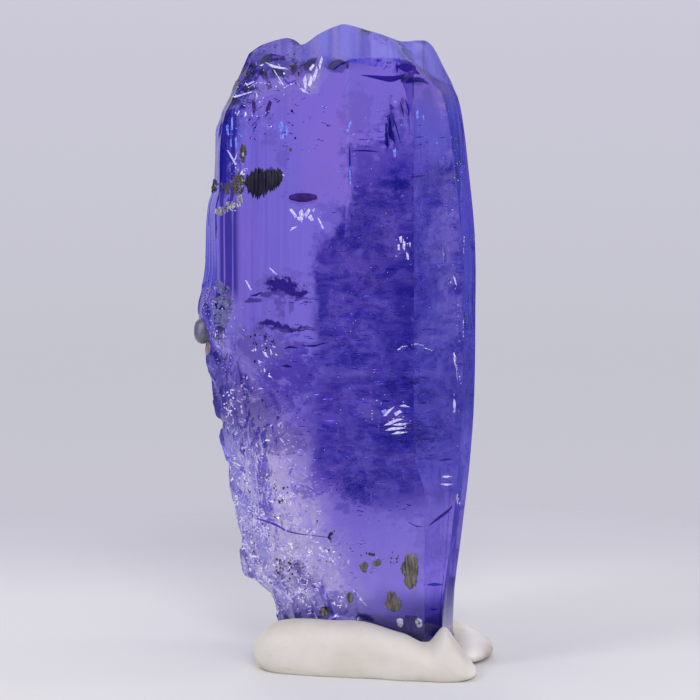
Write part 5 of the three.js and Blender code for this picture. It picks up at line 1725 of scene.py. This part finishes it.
def surround():
    """Pale surround, brighter overhead, with the dark blue cloths mixed over it."""
    world = bpy.data.worlds.new("studio")
    bpy.context.scene.world = world
    world.use_nodes = True
    nodes, links = world.node_tree.nodes, world.node_tree.links
    way = nodes.new("ShaderNodeTexCoord").outputs["Generated"]
    axes = nodes.new("ShaderNodeSeparateXYZ")
    links.new(way, axes.inputs[0])
    height = nodes.new("ShaderNodeMapRange")
    height.inputs["From Min"].default_value = -0.2
    height.inputs["From Max"].default_value = 1.0
    links.new(axes.outputs["Z"], height.inputs["Value"])
    sweep = nodes.new("ShaderNodeValToRGB")
    links.new(height.outputs["Result"], sweep.inputs["Fac"])
    stops = sweep.color_ramp.elements
    for stop, (place, shade) in zip(stops, (SURROUND_SHADES[0], SURROUND_SHADES[-1])):
        stop.position, stop.color = place, shade + (1.0,)
    for place, shade in SURROUND_SHADES[1:-1]:
        stops.new(place).color = shade + (1.0,)
    ray = nodes.new("ShaderNodeLightPath")
    mirrored = world_node(nodes, "ShaderNodeMath", operation="SUBTRACT", use_clamp=True)
    links.new(ray.outputs["Is Glossy Ray"], mirrored.inputs[0])
    links.new(ray.outputs["Is Transmission Ray"], mirrored.inputs[1])
    left_over = nodes.new("ShaderNodeValue").outputs[0]
    left_over.default_value = 1.0
    for side, begin, full, left, mirrored_only in CLOTHS:
        towards = world_node(nodes, "ShaderNodeVectorMath", operation="DOT_PRODUCT")
        towards.inputs[1].default_value = side
        links.new(way, towards.inputs[0])
        hidden = world_node(nodes, "ShaderNodeMapRange", interpolation_type="SMOOTHSTEP")
        for key, value in zip(("From Min", "From Max", "To Min", "To Max"), (begin, full, 0.0, left - 1.0)):
            hidden.inputs[key].default_value = value
        links.new(towards.outputs["Value"], hidden.inputs["Value"])
        kept = world_node(nodes, "ShaderNodeMath", operation="MULTIPLY_ADD")
        links.new(hidden.outputs["Result"], kept.inputs[0])
        kept.inputs[1].default_value = 1.0
        kept.inputs[2].default_value = 1.0
        if mirrored_only:
            links.new(mirrored.outputs[0], kept.inputs[1])
        both = world_node(nodes, "ShaderNodeMath", operation="MULTIPLY")
        links.new(kept.outputs[0], both.inputs[0])
        links.new(left_over, both.inputs[1])
        left_over = both.outputs[0]
    hung = world_node(nodes, "ShaderNodeMix", data_type="RGBA")
    hung.inputs[6].default_value = CLOTH
    links.new(left_over, hung.inputs[0])
    links.new(sweep.outputs["Color"], hung.inputs[7])
    links.new(hung.outputs[2], nodes["Background"].inputs["Color"])


def floor_finish():
    """Matt and pale, fading into the surround; mirrored light sees it dark blue towards the right."""
    f = Finish("floor")
    radius = f.math("SQRT", f.plus(f.times(f.x, f.x), f.times(f.y, f.y)))
    seen_by = f.add("ShaderNodeLightPath")
    mirrored = f.math("SUBTRACT", seen_by.outputs["Is Glossy Ray"], seen_by.outputs["Is Transmission Ray"])
    dim = f.times(f.ramp(mirrored, 0.0, 1.0), f.ramp(f.x, 4.6, 7.5))
    plain = f.mix(f.ramp(f.y, 8.0, 21.0), FLOOR_NEAR, FLOOR_FAR)
    f.set(base_color=f.mix(dim, plain, FLOOR_MIRRORED), roughness=1.0, specular_ior_level=0.0)
    f.set(alpha=f.ramp(radius, *FLOOR_FADE))
    return f.material


def studio():
    """Surround, floor and four soft lamps."""
    bpy.context.scene.view_settings.view_transform = "Standard"
    surround()
    turn = 2 * np.pi * np.arange(96) / 96
    disc = np.stack([np.cos(turn), np.sin(turn), 0 * turn], -1) * (FLOOR_FADE[0] + 2) * MM
    mesh = bpy.data.meshes.new("floor")
    mesh.from_pydata(disc.tolist(), [], [list(range(len(turn)))])
    mesh.materials.append(floor_finish())
    floor = bpy.data.objects.new("floor", mesh)
    bpy.context.scene.collection.objects.link(floor)

    softbox("key", (-75, -45, 100), 30, 12)
    softbox("front", (15, -110, 75), 50, 8.5)
    softbox("side", (105, 10, 60), 20, 10)
    softbox("rear", (-20, 110, 80), 40, 5)


# ------------------------------------------------------------------ assembly

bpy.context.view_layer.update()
place_camera()
studio()

films = {
    "pale": speckled_finish("pale_film", (0.95, 0.93, 1, 1), (0.75, 0.7, 1, 1), 0.25, 1.0),
    "dark": speckled_finish("dark_film", (0.45, 0.33, 0.8, 1), (0.65, 0.5, 0.95, 1), 0.35, 1.0),
    "frost": speckled_finish("frost", (0.72, 0.68, 0.95, 1), (0.5, 0.44, 0.82, 1), 0.35),
    "plum": speckled_finish("plum_lens", (0.3, 0.1, 0.3, 1), (0.5, 0.22, 0.5, 1), 0.35, scale=2.0),
    "ink": speckled_finish("ink_blue", (0.08, 0.02, 0.6, 1), (0.14, 0.03, 0.45, 1), 0.5),
    "blue": speckled_finish("blue_film", (0.25, 0.45, 1, 1), (0.1, 0.14, 0.9, 1), 0.25),
    "sky": speckled_finish("sky_glint", (0.32, 0.45, 1, 1), (0.12, 0.14, 0.75, 1), 0.3, 0, 12.0, (1, 1, 1)),
    "glint": speckled_finish("glint_chip", (1, 0.97, 1, 1), (0.42, 0.38, 0.85, 1), 0.25, 0, 14.0, (1, 1, 1)),
    "crust": speckled_finish("crust_flake", (0.2, 0.19, 0.42, 1), (0.1, 0.1, 0.24, 1), 0.5, scale=9.0),
    "bright": speckled_finish("bright_glint", (0.98, 0.95, 1, 1), (0.85, 0.85, 1, 1), 0.2),
}
tanzanite = Glass().finished()
putty = putty_finish()
graphite = speckled_finish("graphite", (0.004, 0.003, 0.018, 1), (0.025, 0.018, 0.035, 1), 0.4, 0.2)
bronze = speckled_finish(
    "bronze_flake", (0.1, 0.09, 0.065, 1), (0.28, 0.25, 0.19, 1), 0.35, 0.5, 6.0, (2, 2, 0.4)
)
grey = speckled_finish("grey_grain", (0.27, 0.27, 0.37, 1), (0.11, 0.105, 0.12, 1), 0.2, scale=2.5)
cream = speckled_finish("cream_matrix", (0.6, 0.58, 0.52, 1), (0.16, 0.15, 0.16, 1), 0.5, scale=9.0)
ochre = speckled_finish("ochre_stain", (0.5, 0.36, 0.3, 1), (0.3, 0.22, 0.22, 1), 0.5, scale=6.0)
silver = speckled_finish(
    "silver_flake", (0.8, 0.8, 0.84, 1), (0.03, 0.03, 0.05, 1), 0.25, 0.3, 9.0, (1, 1, 1.6)
)
olive = speckled_finish("rusty_olive", (0.04, 0.035, 0.02, 1), (0.12, 0.1, 0.05, 1), 0.4, scale=9.0)

crystal_mesh(tanzanite)
roll, lump = roll_skin(150, 72, putty_roll_points), roll_skin(130, 64, putty_lump_points)
new_mesh("putty_front", *roll, putty, "putty", ("putty_roll",), smooth=True)
new_mesh("putty_rear", *lump, putty, "putty", ("putty_lump",), smooth=True)
new_mesh("graphite_needles", *graphite_needles(), graphite, "graphite", ("graphite_cluster",))
for name, maker, rows, seed, film in (
    ("pale_films", inner_clouds, PALE_FILMS, 1, "pale"),
    ("dark_films", inner_clouds, DARK_FILMS, 2, "dark"),
    ("ink_clouds", inner_clouds, INK_CLOUDS, 9, "ink"),
    ("blue_films_and_glints", inner_clouds, BLUE_FILMS_AND_GLINTS, 3, "blue"),
    ("bright_glints", inner_clouds, BRIGHT_GLINTS, 4, "bright"),
    ("frost", inner_clouds, FROST, 8, "frost"),
    ("crust_flakes", inner_clouds, CRUST_FLAKES, 14, "crust"),
    ("white_crinkle_glints", crinkles, WHITE_CRINKLE_GLINTS, 12, "bright"),
    ("soft_crinkles", crinkles, SOFT_CRINKLES, 13, "frost"),
    ("glint_trails", glint_trails, BRIGHT_STROKES, 7, "bright"),
):
    new_mesh(name, *maker(rows, seed), films[film], "tanzanite")
for name, outlines, depth, thickness, swell, film in (
    ("ink_chips_and_shade", INK_CHIPS_AND_SHADE, 0.03, 0.03, 0.02, "ink"),
    ("plum_chips", PLUM_CHIPS, 0.03, 0.03, 0.02, "plum"),
    ("glint_chips", GLINT_CHIPS, -0.02, 0.015, 0.02, "glint"),
    ("sky_glints", SKY_GLINTS, -0.012, 0.012, 0.012, "sky"),
):
    new_mesh(name, *chips(outlines, depth, thickness, swell), films[film], "tanzanite")
plum_lens = blot(np.random.default_rng(3), 303, 197.5, 14, 4.6, 0.5, 0.12)
new_mesh("plum_lens", *plum_lens, films["plum"], "tanzanite", smooth=True)
new_mesh("dark_strokes_and_shade", *inner_strokes(DARK_STROKES_AND_SHADE), films["ink"], "tanzanite", smooth=True)
new_mesh("blue_strokes", *inner_strokes(BLUE_STROKES), films["blue"], "tanzanite")
new_mesh("crown_veil", *crown_veil(), veil_finish(), "tanzanite")
new_mesh("ochre_stain", *chips([OCHRE_OUTLINE], -0.02, 0.015, 0.01), ochre, "grey_grain")
new_mesh("cream_matrix", *grain_heaps(MATRIX_GRAINS, 5), cream, "grey_grain")
new_mesh("rusty_grains", *grain_heaps(RUST_GRAINS, 6), olive, "bronze_flake")
for number, flake in enumerate(FLAKES, 1):
    node = "bronze_flake_%d" % number
    new_mesh("ore_flake_%d" % number, *ore_flake(*flake), bronze, "bronze_flake", (node,))
silver_flakes = joined([ore_flake(*place, SILVER_OUTLINE) for place in SILVER_FLAKES])
new_mesh("silver_flakes", *silver_flakes, silver, "bronze_flake")
grain_mesh = bpy.data.objects["grey_grain"].data
grain_mesh.materials.clear()
grain_mesh.materials.append(grey)
